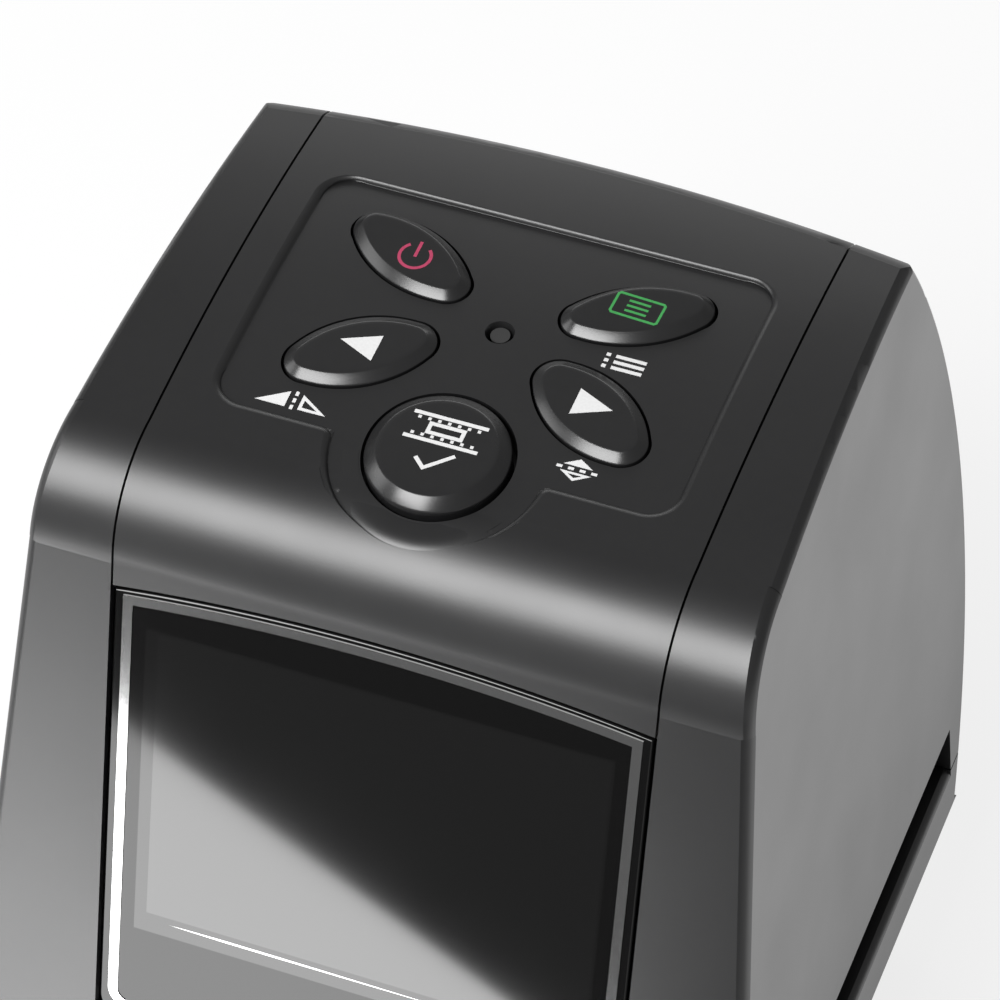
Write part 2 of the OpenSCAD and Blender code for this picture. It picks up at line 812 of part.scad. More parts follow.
// --- optics --------------------------------------------------------------------------------------
module optics_tower() {
  color(key_black) translate([0, slot_y, tower_z + 0.05]) difference() {
    union() {
      translate([-23, -17, 0]) cube([46, 34, 14]);
      translate([-13, -13, 13]) cube([26, 26, sensor_z - tower_z - 13.1]);
      for (s = [-1, 1]) translate([s * 14.2, 0, 50 - tower_z]) cylinder(r = 2.2, h = sensor_z - 50.1);
    }
    for (s = [-1, 1]) translate([s * 14.2, 0, 54 - tower_z]) cylinder(r = 0.8, h = 20);
    translate([-21.2, -15.2, -1]) cube([42.4, 30.4, 13.2]);
    translate([-11.4, -11.4, 14]) cube([22.8, 22.8, 40]);
    translate([0, 0, 11]) cylinder(r = 6.6, h = 4);
  }
}

module lens_barrel() {
  color(key_black) translate([0, slot_y, tower_z + 8.2]) rotate_extrude() difference() {
    union() {
      translate([4.4, 0]) square([1.9, 15]);
      translate([4.4, 6.05]) square([4, 3]);
    }
    translate([0, 3]) square([5.2, 1.2]);
    translate([0, 11]) square([5.2, 1.2]);
  }
}

module lens_glass() {
  color(clear_glass) translate([0, slot_y, tower_z + 8.2]) for (h = [3.1, 11.1]) translate([0, 0, h]) {
    cylinder(r = 5.1, h = 1);
    intersection() {
      cylinder(r = 4.2, h = 2.2);
      translate([0, 0, -6.2]) sphere(8.2);
    }
  }
}

module sensor_board() {
  color(board_green) translate([0, slot_y, sensor_z]) difference() {
    translate([-16, -16, 0]) cube([32, 32, board_t]);
    for (s = [-1, 1]) translate([s * 14.2, 0, -1]) cylinder(r = 1.1, h = 4);
  }
}

module sensor_screws() {
  color(metal) for (s = [-1, 1]) translate([s * 14.2, slot_y, sensor_z + board_t]) pan_screw(0.75, 1.7, 6);
}

module image_sensor() {
  color([0.12, 0.10, 0.16]) translate([0, slot_y, sensor_z - 0.05]) mirror([0, 0, 1]) {
    translate([-6, -5, 0]) cube([12, 10, 1.6]);
    translate([-4, -3, 1]) cube([8, 6, 0.9]);
  }
}

// --- film gate --------------------------------------------------------------------------------------
gate_screw_at = [[-20, slot_front - 3.4], [20, slot_front - 3.4], [-20, slot_back + 1.2], [20, slot_back + 1.2]];
detent_at = [20, slot_front + 3];
pin_r = 2;
pin_fit = 0.05;
detent_travel = 0.8;

module film_gate() {
  color(key_black) difference() {
    union() {
      intersection() {
        housing_form(gate_in);
        block(-60, 60, -60, 60, gate_z, tower_z);
      }
      translate([detent_at.x, detent_at.y, gate_z + 1]) cylinder(r = 4, h = 10);
    }
    translate([-18.5, slot_y - 12.5, gate_z - 1]) cube([37, 25, 4]);
    translate([detent_at.x, detent_at.y, gate_z - 1]) cylinder(r = pin_r + pin_fit, h = 20);
    translate([detent_at.x, detent_at.y, tower_z + 1.2]) cylinder(r = 2.9, h = 20);
    for (at = gate_screw_at) translate([at.x, at.y, gate_z - 1]) cylinder(r = 1, h = 4);
    for (at = gate_boss_at, s = [-1, 1]) translate([s * at.x, at.y, gate_z - 0.01]) {
      cylinder(r = 1.1, h = 3);
      cylinder(r1 = 2.2, r2 = 1.1, h = 1.1);
    }
  }
}

module film_rails() {
  color(key_black) difference() {
    intersection() {
      housing_form(gate_in);
      union() {
        block(-27, 27, -60, slot_front, slot_z + 0.1, slot_top - 0.1);
        block(-27, 27, slot_back, 60, slot_z + 0.1, slot_top - 0.1);
      }
    }
    for (at = gate_screw_at) translate([at.x, at.y, slot_z - 1]) cylinder(r = 0.8, h = 10);
  }
}

module gate_screws() {
  color(metal) {
    for (at = gate_screw_at) translate([at.x, at.y, tower_z]) pan_screw(0.75, 1.6, 6.6);
    for (at = gate_boss_at, s = [-1, 1]) translate([s * at.x, at.y, gate_z + 0.1]) {
      cylinder(r1 = 2, r2 = 0.85, h = 1.1);
      cylinder(r = 0.8, h = 7);
    }
  }
}

module detent_pin() {
  color(metal) translate([detent_at.x, detent_at.y, 0]) rotate_extrude() {
    translate([0, gate_z + 0.6]) square([pin_r, tower_z - gate_z + 0.8]);
    translate([0, tower_z + 1.3]) square([2.7, 0.9]);
    translate([0, tower_z + 2]) square([1.2, 3]);
    intersection() {
      translate([0, gate_z - 0.7 + 2.1]) circle(2.1);
      translate([0, gate_z - 1]) square([pin_r, 2.4]);
    }
  }
}

module detent_spring() {
  turns = 4;
  steps = 16;                        // to a turn
  sides = 8;                         // round the wire
  rise = 4.78;
  coil_r = 1.95;
  wire_r = 0.28;
  last = turns * steps;
  points = [for (i = [0:last], j = [0:sides - 1])
    let (a = 360 * i / steps, b = 360 * j / sides, r = coil_r + wire_r * cos(b))
    [r * cos(a), r * sin(a), rise * i / last + wire_r * sin(b)]];
  skin = [for (i = [0:last - 1], j = [0:sides - 1])
    let (k = (j + 1) % sides)
    [i * sides + j, (i + 1) * sides + j, (i + 1) * sides + k, i * sides + k]];
  ends = [[for (j = [0:sides - 1]) j], [for (j = [sides - 1:-1:0]) last * sides + j]];
  color(metal) translate([detent_at.x, detent_at.y, tower_z + 2.54]) polyhedron(points, concat(skin, ends));
}

module detent_cap() {
  color(key_black) translate([detent_at.x, detent_at.y, gate_z + 11.05]) {
    cylinder(r = 4, h = 1.2);
    translate([0, 0, -1.6]) cylinder(r = 2.8, h = 1.7);
  }
}

// --- base ---------------------------------------------------------------------------------------------
tray_boss_at = [[-33, -33], [33, -33], [-32, 17], [32, 17]];

// Waste along the two front corners below the belt
module base_edge_waste() {
  both_sides() edge_waste(base_corner(belt_z + 0.3), base_corner(0), base_side_out, base_front_out, edge_r);
}
base_side_out = [cos(undercut) * cos(side_taper), cos(undercut) * sin(side_taper), -sin(undercut)];
base_front_out = [0, -cos(undercut), -sin(undercut)];
function base_corner(z) =
  let (y = belt_front_y + (belt_z - z) * tan(undercut))
  [half_w - (belt_z - z) * tan(undercut) / cos(side_taper) - (y - belt_front_y) * tan(side_taper), y, z];

module round_base() {
  difference() {
    children();
    both_sides() side_edge_waste();
    base_edge_waste();
  }
}

module base_tray() {
  color(cover_black) difference() {
    union() {
      difference() {
        round_base() intersection() {
          base_form(0);
          block(-60, 60, -60, 60, tray_z, slot_z);
        }
        intersection() {
          base_form(wall);
          block(-60, 60, -60, 60, 0, slot_z - deck_t);
        }
      }
      for (at = tray_boss_at) translate([at.x, at.y, tray_z + 0.1]) cylinder(r = 2.8, h = slot_z - tray_z - 1);
    }
    translate([-19, slot_y - 13, slot_z - 3]) cube([38, 26, 4]);
    for (at = tray_boss_at) translate([at.x, at.y, tray_z - 1]) cylinder(r = 1, h = 9);
    both_sides() lower_lip_waste();
  }
}

module lower_lip_waste() {
  edge_waste([side_x(slot_front, slot_z), slot_front, slot_z], [side_x(slot_back, slot_z), slot_back, slot_z],
             side_out, [0, 0, 1], lip_r);
}

module base_plate() {
  color(cover_black) difference() {
    union() {
      round_base() intersection() {
        base_form(0);
        block(-60, 60, -60, 60, plate_z, plate_z + plate_t);
      }
      for (s = [-1, 1], y = [slot_y - 15, slot_y + 15]) translate([s * 16, y, plate_z + 1]) cylinder(r = 2, h = 3.4);
    }
    for (at = foot_at) translate([at.x, at.y, 0]) cylinder(r = 4.65, h = 3);
    for (at = tray_boss_at) translate([at.x, at.y, 0]) {
      cylinder(r = 1.3, h = 9);
      cylinder(r = 2.4, h = 3.2);
    }
  }
}
foot_at = [[-21, -33], [21, -33], [-21, 15], [21, 15]];

module plate_screws() {
  color(metal) for (at = tray_boss_at) translate([at.x, at.y, 3.2]) mirror([0, 0, 1]) pan_screw(0.95, 2, 7.5);
}

module rubber_feet() {
  color(rubber_black) for (at = foot_at) translate([at.x, at.y, 0]) {
    cylinder(r = 4.5, h = 2.95);
  }
}

light_z = plate_z + plate_t + 1.9;

module light_board() {
  color(board_green) block(-22, 22, slot_y - 17, slot_y + 17, light_z, light_z + board_t);
}

module light_leds() {
  color([0.95, 0.93, 0.80]) for (x = [-11, 0, 11], y = [-6.5, 6.5])
    translate([x - 1.75, slot_y + y - 1.4, light_z + board_t + 0.05]) cube([3.5, 2.8, 1.4]);
}

module light_box() {
  color(white_plastic) translate([0, slot_y, light_z + board_t + 0.05]) difference() {
    translate([-21.5, -15.5, 0]) cube([43, 31, light_box_h]);
    translate([-20, -14, -1]) cube([40, 28, light_box_h + 2]);
  }
}
light_box_h = slot_z - deck_t - 1.9 - (light_z + board_t + 0.1);

module diffuser() {
  color([0.96, 0.96, 0.95]) block(-21.5, 21.5, slot_y - 15.5, slot_y + 15.5, slot_z - deck_t - 1.8, slot_z - deck_t - 0.1);
}

// --- what is drawn ----------------------------------------------------------------
top_cover();
side_shell_left();
side_shell_right();
rear_cover();
front_bezel();
screen_glass();
screen_line();
lcd_panel();
lcd_frame();
lcd_bracket();
lcd_screws();
lcd_ribbon();
power_key();
menu_key();
left_key();
right_key();
scan_key();
key_board();
key_switches();
key_screws();
key_ribbon();
light_pipe();
main_board();
board_chips();
board_screws();
usb_socket();
card_socket();
sensor_board();
sensor_screws();
image_sensor();
lens_barrel();
lens_glass();
optics_tower();
film_gate();
film_rails();
gate_screws();
detent_pin();
detent_spring();
detent_cap();
base_tray();
light_box();
light_board();
light_leds();
diffuser();
base_plate();
plate_screws();
rubber_feet();
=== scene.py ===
# %% [markdown]
# # A table-top film scanner, dressed in Blender
# The solids come from the CAD model, already in place and in metres. This
# lesson gives them their looks: satin black plastic, soft rubbery keys with
# printed signs, a dark glass over a small screen, and the boards and optics
# inside. Each step first says what the real piece is, and why it is made the
# way it is.

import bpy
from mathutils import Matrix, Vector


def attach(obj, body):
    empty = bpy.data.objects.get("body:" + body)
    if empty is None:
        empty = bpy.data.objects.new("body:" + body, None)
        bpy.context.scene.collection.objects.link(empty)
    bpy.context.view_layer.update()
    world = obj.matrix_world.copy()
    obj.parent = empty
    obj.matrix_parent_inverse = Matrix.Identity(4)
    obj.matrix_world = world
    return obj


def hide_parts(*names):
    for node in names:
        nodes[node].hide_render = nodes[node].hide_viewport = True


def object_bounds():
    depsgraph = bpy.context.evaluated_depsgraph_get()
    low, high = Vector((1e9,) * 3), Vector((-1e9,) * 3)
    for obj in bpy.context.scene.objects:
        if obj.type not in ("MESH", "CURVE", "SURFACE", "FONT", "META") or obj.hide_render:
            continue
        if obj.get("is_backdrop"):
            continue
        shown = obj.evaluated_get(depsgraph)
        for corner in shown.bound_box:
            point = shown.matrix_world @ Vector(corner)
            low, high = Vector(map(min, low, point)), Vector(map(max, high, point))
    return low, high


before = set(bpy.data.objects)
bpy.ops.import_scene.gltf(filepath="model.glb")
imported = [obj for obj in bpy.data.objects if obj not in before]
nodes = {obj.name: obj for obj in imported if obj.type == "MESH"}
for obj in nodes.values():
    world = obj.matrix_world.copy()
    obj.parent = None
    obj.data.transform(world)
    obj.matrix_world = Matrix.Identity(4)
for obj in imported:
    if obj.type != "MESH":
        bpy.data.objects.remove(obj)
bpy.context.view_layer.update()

# %% [markdown]
# ## Tools
# The frame is in metres and the sizes of a small device read best in
# millimetres, so every length below is multiplied by `MM`. Two short functions
# do what nearly every step needs: turn a bmesh into a mesh, and put an object
# into the scene.

# %% Tools used below
from math import atan2, cos, degrees, pi, radians, sin, sqrt

import bmesh
import bpy
from mathutils import Matrix, Vector

MM = 0.001


def mesh_of(name, shape):
    """A mesh with the faces of a bmesh, which is freed."""
    mesh = bpy.data.meshes.new(name)
    shape.to_mesh(mesh)
    shape.free()
    return mesh


def add(name, data):
    """A new object in the scene that shows this mesh, camera or light."""
    made = bpy.data.objects.new(name, data)
    bpy.context.scene.collection.objects.link(made)
    return made


print("one millimetre is", MM, "m")

# %% [markdown]
# ## The camera
# The photograph was taken from above the user's right shoulder, with a long
# lens. The numbers below were found from the object's own lines, such as the
# picture window and the round scan key, so the render shows the same view.

# %% Camera
def look(camera, right, forward):
    """Turns a camera so that its picture's right and its line of sight are these."""
    up = right.cross(forward)
    turn = Matrix((right, up, -forward)).transposed()
    camera.rotation_euler = turn.to_euler()


camera = add("camera", bpy.data.cameras.new("camera"))
camera.location = Vector((143.78, -362.28, 448.30)) * MM
look(camera, Vector((0.92986, 0.36791, 0)).normalized(),
     Vector((-0.26698, 0.67475, -0.68806)).normalized())
camera.data.sensor_fit = "AUTO"
camera.data.sensor_width = 36
camera.data.lens = 190.13
camera.data.clip_start = 0.01
camera.data.clip_end = 20
bpy.context.scene.camera = camera
bpy.context.scene.view_settings.view_transform = "Standard"
print("camera stands", round(camera.location.length, 3), "m from the scanner's foot")

# %% [markdown]
# ## Shader maths in plain Python
# A node tree is easier to read as a formula. `Wire` wraps a socket, and its
# operators add Math nodes, so `noise * 0.1 + 0.2` works as written. Every node
# comes from `new_node`, which takes its settings first and then the values or
# wires of its sockets.

# %% Wires and finishes
class Wire:
    """A socket of a node tree that can be used in a sum."""

    def __init__(self, finish, socket):
        self.finish, self.socket = finish, socket

    def _math(self, operation, *values):
        settings = {"operation": operation}
        return self.finish.node("ShaderNodeMath", settings, dict(enumerate(values)))

    def __add__(self, other): return self._math("ADD", self, other)
    def __mul__(self, other): return self._math("MULTIPLY", self, other)
    def above(self, other): return self._math("GREATER_THAN", self, other)
    def wave(self): return self._math("SINE", self)


def plug(tree, socket, value):
    """Links a wire or a socket to a socket, or sets its value. Three numbers do for a colour."""
    if isinstance(value, Wire):
        value = value.socket
    if isinstance(value, bpy.types.NodeSocket):
        tree.links.new(value, socket)
    elif socket.type == "RGBA" and len(value) == 3:
        socket.default_value = (*value, 1)
    else:
        socket.default_value = value


def new_node(tree, kind, settings=None, sockets=None):
    made = tree.nodes.new(kind)
    for name, value in (settings or {}).items():
        setattr(made, name, value)
    for name, value in (sockets or {}).items():
        plug(tree, made.inputs[name], value)
    return made


def empty_tree(holder):
    """The node tree of a material or a world, with nothing in it."""
    holder.use_nodes = True
    holder.node_tree.nodes.clear()
    return holder.node_tree


class Finish:
    """A material with one Principled shader, and a short way to add nodes."""

    def __init__(self, name, **shader):
        self.material = bpy.data.materials.new(name)
        self.tree = empty_tree(self.material)
        output = self.tree.nodes.new("ShaderNodeOutputMaterial")
        self.shader = self.tree.nodes.new("ShaderNodeBsdfPrincipled")
        self.tree.links.new(self.shader.outputs[0], output.inputs["Surface"])
        for socket, value in shader.items():
            self.set(socket.replace("_", " "), value)

    def set(self, socket, value):
        plug(self.tree, self.shader.inputs[socket], value)
        return self

    def node(self, kind, settings=None, sockets=None, output=0):
        return Wire(self, new_node(self.tree, kind, settings, sockets).outputs[output])

    def place(self):
        return self.node("ShaderNodeTexCoord", output="Object")

    def along(self, axis):
        return self.node("ShaderNodeSeparateXYZ", sockets={0: self.place()}, output=axis)

    def noise(self, per_mm, detail=2.0, rough=0.5):
        return self.node("ShaderNodeTexNoise", sockets={
            "Vector": self.place(), "Scale": per_mm / MM, "Detail": detail, "Roughness": rough})

    def tint(self, mask, low, high):
        """A colour between low and high. The colour sockets of a Mix node are 6 and 7."""
        sockets = {0: mask, 6: low, 7: high}
        return self.node("ShaderNodeMix", {"data_type": "RGBA"}, sockets, output=2)

    def bump(self, height, depth_mm, strength=1.0):
        return self.set("Normal", self.node("ShaderNodeBump", sockets={
            "Height": height, "Distance": depth_mm * MM, "Strength": strength}))


def grey(value, blue=0.0):
    return (value, value, value * (1 + blue))


def dress(finish, *names):
    """Gives a finish to CAD nodes or pieces."""
    for name in names:
        thing = nodes.get(name) or bpy.data.objects[name]
        thing.data.materials.clear()
        thing.data.materials.append(finish.material)


print("tools for finishes are ready")

# %% [markdown]
# ## Moulded black plastic
# The housing is ABS from a spark-eroded mould: nearly black, satin, with a very
# fine grain that softens reflections without looking rough. The grain is a
# noise finer than a quarter of a millimetre in the bump, and a slower noise
# makes the gloss uneven, as handling does.

# %% Housing plastic
def satin_black(name, colour, gloss, grain_mm=0.2, grain_depth=0.004):
    finish = Finish(name, IOR=1.58, Base_Color=colour, Roughness=gloss)
    grain = finish.noise(1 / grain_mm, detail=3)
    cloud = finish.noise(0.06, detail=3)
    finish.set("Roughness", cloud * 0.10 + (gloss - 0.05))
    lighter = tuple(1.35 * c for c in colour)
    finish.set("Base Color", finish.tint(finish.noise(0.9, detail=4), colour, lighter))
    finish.bump(grain, grain_depth)
    return finish


housing_black = satin_black("housing_black", grey(0.0065, 0.05), 0.36)
inner_black = satin_black("inner_black", grey(0.010), 0.62)
key_black = satin_black("key_black", grey(0.0075, 0.04), 0.27, grain_mm=0.12, grain_depth=0.0015)
dress(housing_black, "top_cover", "side_shell_left", "side_shell_right", "rear_cover",
      "front_bezel", "base_tray", "base_plate")
dress(inner_black, "optics_tower", "film_gate", "film_rails", "lens_barrel", "detent_cap")
dress(key_black, "power_key", "menu_key", "left_key", "right_key", "scan_key")
print("satin black on the housing, the keys and the parts inside")

# %% [markdown]
# ## Glass, screen and the bright line round it
# The window is one dark smoked glass that runs from seam to seam. A thin silver
# line is printed near its edge, and the small screen lies behind its middle. The
# solid glass is dressed here; a finer pane takes its place further down.

# %% Screen finishes
smoked_glass = Finish("smoked_glass", Base_Color=grey(0.006), Roughness=0.03, IOR=1.56, Alpha=0.55)
smoked_glass.set("Roughness", smoked_glass.noise(0.05) * 0.03 + 0.015)

# Silver for the printed line round the screen. The same finish also draws the painted highlight
# strip on the pane further down.
silver_print_and_glint = Finish("silver_print_and_glint", Base_Color=grey(0.62), Metallic=1.0, Roughness=0.16)
silver_print_and_glint.set("Roughness", silver_print_and_glint.noise(3.0) * 0.05 + 0.08)

lcd_face = Finish("lcd_face", Base_Color=grey(0.012), Roughness=0.18, IOR=1.5)
lcd_face.set("Roughness", lcd_face.noise(1.5) * 0.05 + 0.15)
dress(smoked_glass, "screen_glass")
dress(silver_print_and_glint, "screen_line")
dress(lcd_face, "lcd_panel")
print("smoked glass, silver line and screen")

# %% [markdown]
# ## Inside: boards, metal, cables
# These show only through the slot and the sockets, or when the model is taken
# apart, but each still has its own finish: green solder mask with a faint
# weave, steel, amber flat cable, milky light parts.

# %% Finishes of the parts inside
solder_mask = Finish("solder_mask", Base_Color=(0.012, 0.10, 0.045), Roughness=0.3)
THREAD, TRACK = 2 * pi / (0.5 * MM), 2 * pi / (1.0 * MM)
weave = (solder_mask.along("X") * THREAD).wave() * (solder_mask.along("Y") * THREAD).wave()
solder_mask.set("Base Color", solder_mask.tint(
    weave * 0.5 + 0.5, (0.010, 0.085, 0.040), (0.016, 0.12, 0.055)))

steel = Finish("steel", Base_Color=grey(0.45), Metallic=1.0, Roughness=0.3)
steel.set("Roughness", steel.noise(2.5, detail=4) * 0.2 + 0.22)

chip_black = Finish("chip_black", Base_Color=grey(0.012), Roughness=0.55)
chip_black.bump(chip_black.noise(8.0), 0.003)

cable_amber = Finish("cable_amber", Base_Color=(0.30, 0.13, 0.03), Roughness=0.35)
tracks = (cable_amber.along("X") * TRACK).wave().above(0.2)
cable_amber.set("Base Color", cable_amber.tint(tracks, (0.28, 0.12, 0.025), (0.42, 0.22, 0.06)))

milky = Finish("milky", Base_Color=grey(0.72), Roughness=0.42)
milky.set("Base Color", milky.tint(milky.noise(0.2), grey(0.66), grey(0.76)))

light_source = Finish("light_source", Base_Color=(0.85, 0.78, 0.42), Roughness=0.3)
light_source.set("Base Color", light_source.tint(
    light_source.noise(1.2), (0.80, 0.70, 0.34), (0.88, 0.84, 0.56)))

pipe_clear = Finish("pipe_clear", Base_Color=grey(0.035), Roughness=0.08, IOR=1.49)
pipe_clear.set("Roughness", pipe_clear.noise(1.0) * 0.06 + 0.05)

lens_clear = Finish("lens_clear", Base_Color=(0.10, 0.08, 0.16), Roughness=0.02, Alpha=0.6, IOR=1.6)
lens_clear.set("Roughness", lens_clear.noise(0.5) * 0.02 + 0.01)

foot_rubber = Finish("foot_rubber", Base_Color=grey(0.018), Roughness=0.8)
foot_rubber.bump(foot_rubber.noise(3.0, detail=4), 0.02)

dress(solder_mask, "key_board", "main_board", "sensor_board", "light_board")
dress(steel, "lcd_bracket", "lcd_screws", "key_switches", "key_screws", "board_screws",
      "usb_socket", "card_socket", "sensor_screws", "gate_screws", "detent_pin",
      "detent_spring", "plate_screws")
dress(chip_black, "board_chips", "image_sensor")
dress(cable_amber, "lcd_ribbon", "key_ribbon")
dress(milky, "lcd_frame", "light_box", "diffuser")
dress(light_source, "light_leds")
dress(pipe_clear, "light_pipe")
dress(lens_clear, "lens_glass")
dress(foot_rubber, "rubber_feet")
print("finishes for", len(nodes), "solids")

# %% [markdown]
# ## From moulding to mesh
# The keys stand on a panel that slopes 8.2 degrees towards the user, and the
# glass lies in a front that leans 11.12 degrees. Each has a frame of its own,
# so that a key or a sign is drawn flat, in millimetres, and then laid in place.
# A finished piece is a mesh whose object stays at the origin, as the solids do.

# %% Frames, rings and pieces
SLOPE, LEAN = radians(8.2), radians(11.12)
PANEL_AT, FRONT_AT = Vector((0, 1.14, 100.4)), Vector((0, -30.76, 83.4))


def on_panel(u, v, h=0.0):
    """A point of the key panel, to the right, up the slope and out of the panel, in millimetres."""
    y, z = v * cos(SLOPE) - h * sin(SLOPE), v * sin(SLOPE) + h * cos(SLOPE)
    return (PANEL_AT + Vector((u, y, z))) * MM


def on_front(u, v, h=0.0):
    """A point of the front, to the right, up the front and towards the user, in millimetres."""
    y, z = v * sin(LEAN) - h * cos(LEAN), v * cos(LEAN) + h * sin(LEAN)
    return (FRONT_AT + Vector((u, y, z))) * MM


def smooth(mesh, angle=35):
    mesh.polygons.foreach_set("use_smooth", [True] * len(mesh.polygons))
    mesh.set_sharp_from_angle(angle=radians(angle))


def piece(name, shape, finish, body, angle=35):
    """Turns a bmesh into a finished piece that rides on a body."""
    mesh = mesh_of(name, shape)
    made = add(name, mesh)
    smooth(mesh, angle)
    for one in finish if isinstance(finish, list) else [finish]:
        mesh.materials.append(one.material)
    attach(made, body)
    return made


def bridge(shape, here, there):
    """The faces between two closed rings with the same number of corners."""
    steps = [(i, (i + 1) % len(here)) for i in range(len(here))]
    return [shape.faces.new((here[i], here[j], there[j], there[i])) for i, j in steps]


def skin_rings(shape, rings):
    """A closed skin through rings of points that run anticlockwise seen from its far end."""
    rows = [[shape.verts.new(point) for point in ring] for ring in rings]
    for low, high in zip(rows, rows[1:]):
        bridge(shape, low, high)
    shape.faces.new(rows[0][::-1])
    shape.faces.new(rows[-1])


print("panel middle at", [round(v, 4) for v in on_panel(0, 0)])

# %% [markdown]
# ## The outer form again
# A key rises from the sunk panel's slightly domed floor, and a sign lies on it.
# So the two arcs of the moulding's side view are worked out here as they are in
# the solids: the long arc of the top, and the blend into the front.

# %% Side view of the top
TOP_R, BLEND_R = 171.5, 11.8
TOP_AT = Vector((21.24, 102.4 - TOP_R))
BEND_Y = -20.0      # the blend takes over from the long arc here
SUNK = 0.6          # the panel's floor lies this far under the skin


def blend_middle():
    reach = 0.994 * BLEND_R
    out, up = Vector((-cos(LEAN), sin(LEAN))), Vector((sin(LEAN), cos(LEAN)))
    start = Vector((FRONT_AT.y, FRONT_AT.z)) - reach * out
    gap = start - TOP_AT
    along = gap.dot(up)
    return start + up * (-along + sqrt(along ** 2 - gap.dot(gap) + (TOP_R - reach) ** 2))


BLEND_AT = blend_middle()


def rise_to(v, middle, r):
    """Height over the panel at v of an arc in the side view, and the arc's point there."""
    foot = Vector((PANEL_AT.y + v * cos(SLOPE), PANEL_AT.z + v * sin(SLOPE)))
    up = Vector((-sin(SLOPE), cos(SLOPE)))
    gap = foot - middle
    h = -gap.dot(up) + sqrt(max(0.0, gap.dot(up) ** 2 - gap.dot(gap) + r * r))
    return h, foot + up * h


def skin_over(v):
    """Height of the outer skin over the panel at v, and the way it faces there."""
    middle = TOP_AT
    h, hit = rise_to(v, TOP_AT, TOP_R)
    if hit.y <= BEND_Y:
        middle = BLEND_AT
        h, hit = rise_to(v, BLEND_AT, BLEND_R)
    return h, (hit - middle).normalized()


def floor_over(_, v):
    """Height of the sunk floor, which keeps to the long arc also in front."""
    return rise_to(v, TOP_AT, TOP_R - SUNK)[0]


print("floor of the panel:", [round(floor_over(0, v), 3) for v in (-24, -16, 0, 14)])

# %% [markdown]
# ## The keys
# Each key is moulded in soft-touch plastic: an upright wall, a slanted rim about
# a millimetre wide that catches the light, and a nearly flat top. A Bevel
# modifier on the plain solid would round the rim evenly; drawing the rim's
# profile and pulling rings of the key's outline through it keeps the crisp line
# that the real key has along its top.

# %% Outlines of the keys
def arc(centre, r, start, end, count):
    return [(centre[0] + r * cos(a), centre[1] + r * sin(a))
            for a in (start + (end - start) * i / count for i in range(count))]


def oval(a, b, grow=0.0, count=32):
    """An oval of four arcs, moved outwards by grow."""
    end_r = 0.62 * b
    flank_r = ((a - end_r) ** 2 + b * b - end_r ** 2) / (2 * (b - end_r))
    drop = flank_r - b
    phi = atan2(drop, a - end_r)
    return (arc((a - end_r, 0), end_r + grow, -phi, phi, count) +
            arc((0, -drop), flank_r + grow, phi, pi - phi, count) +
            arc((end_r - a, 0), end_r + grow, pi - phi, pi + phi, count) +
            arc((0, drop), flank_r + grow, pi + phi, 2 * pi - phi, count))


def disc(r, count=128):
    return arc((0, 0), r, 0, 2 * pi, count)


SCAN_V = -16.4      # how far down the panel the scan key stands
KEYS = {
    "power_key": dict(at=(-12.1, 6.6), turn=-26, half=(7.7, 3.85)),
    "menu_key": dict(at=(12.1, 6.6), turn=26, half=(7.7, 3.85)),
    "left_key": dict(at=(-12.15, -6.8), turn=32, half=(7.7, 4.25)),
    "right_key": dict(at=(12.15, -6.8), turn=-32, half=(7.7, 4.25)),
    "scan_key": dict(at=(-0.08, SCAN_V), turn=0, half=(7.28, 7.28), rim=1.18),
}
# How far in from the outline, and the share of the way up from the floor to the top
RIM = [(0, -0.4), (0, 0.0), (0.03, 0.10), (0.12, 0.21), (0.98, 0.90), (1.05, 0.95),
       (1.15, 0.98), (1.5, 0.993), (2.1, 1.0)]
# Heights over the panel: the keys' tops, the lowest start of a rim, and how much
# further the scan key stands out
KEY_TOP, BEVEL_LOW, SCAN_RISE = 0.99, -0.14, 0.12


def key_rings(spec, rise):
    """The rings of a key from its stem's lower end to its top. rim widens the slanted rim."""
    a, b = spec["half"]
    turn = radians(spec["turn"])
    top = KEY_TOP + rise

    def outline(grow):
        return disc(a + grow) if a == b else oval(a, b, grow)

    def place(points, h=None, share=0.0):
        spots = [(spec["at"][0] + x * cos(turn) - y * sin(turn),
                  spec["at"][1] + x * sin(turn) + y * cos(turn)) for x, y in points]
        heights = [max(BEVEL_LOW, floor_over(u, v) + 0.03) if h is None else h
                   for u, v in spots]
        return [on_panel(u, v, low + (top - low) * share)
                for (u, v), low in zip(spots, heights)]

    stem, foot = disc(1.5), outline(0.65)
    rings = [place(stem, -5.3), place(stem, -3.9), place(foot, -3.9), place(foot, -3.05),
             place(outline(0), -3.05)]
    rim = spec.get("rim", 1.0)
    return rings + [place(outline(-inset * rim), share=share) for inset, share in RIM]


for name, spec in KEYS.items():
    shape = bmesh.new()
    skin_rings(shape, key_rings(spec, SCAN_RISE if name == "scan_key" else 0.0))
    piece(name + "_cap", shape, key_black, name, angle=50)
    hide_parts(name)

# %% [markdown]
# ## Printed signs
# Pad printing lays a film of ink a few hundredths of a millimetre thick. Signs
# drawn as flat strokes and then given that thickness stay sharp in any view,
# which a painted texture would not. The signs are plain ones: the standby ring,
# two arrows, a list in a frame, a mirror line, a film frame and a tick.

# %% Strokes
def stroke(points, width, closed=False):
    """Left and right edges of a line of this width, with mitred corners."""
    points = [Vector(p) for p in points]
    count = len(points)
    pairs = []
    for i, here in enumerate(points):
        before = points[i - 1] if closed or i > 0 else None
        after = points[(i + 1) % count] if closed or i < count - 1 else None
        into = (here - before).normalized() if before is not None else (after - here).normalized()
        out = (after - here).normalized() if after is not None else into
        side = (into + out).normalized()
        normal = Vector((-side.y, side.x)) * (width / 2 / max(0.35, side.dot(into)))
        pairs.append((here + normal, here - normal))
    return pairs


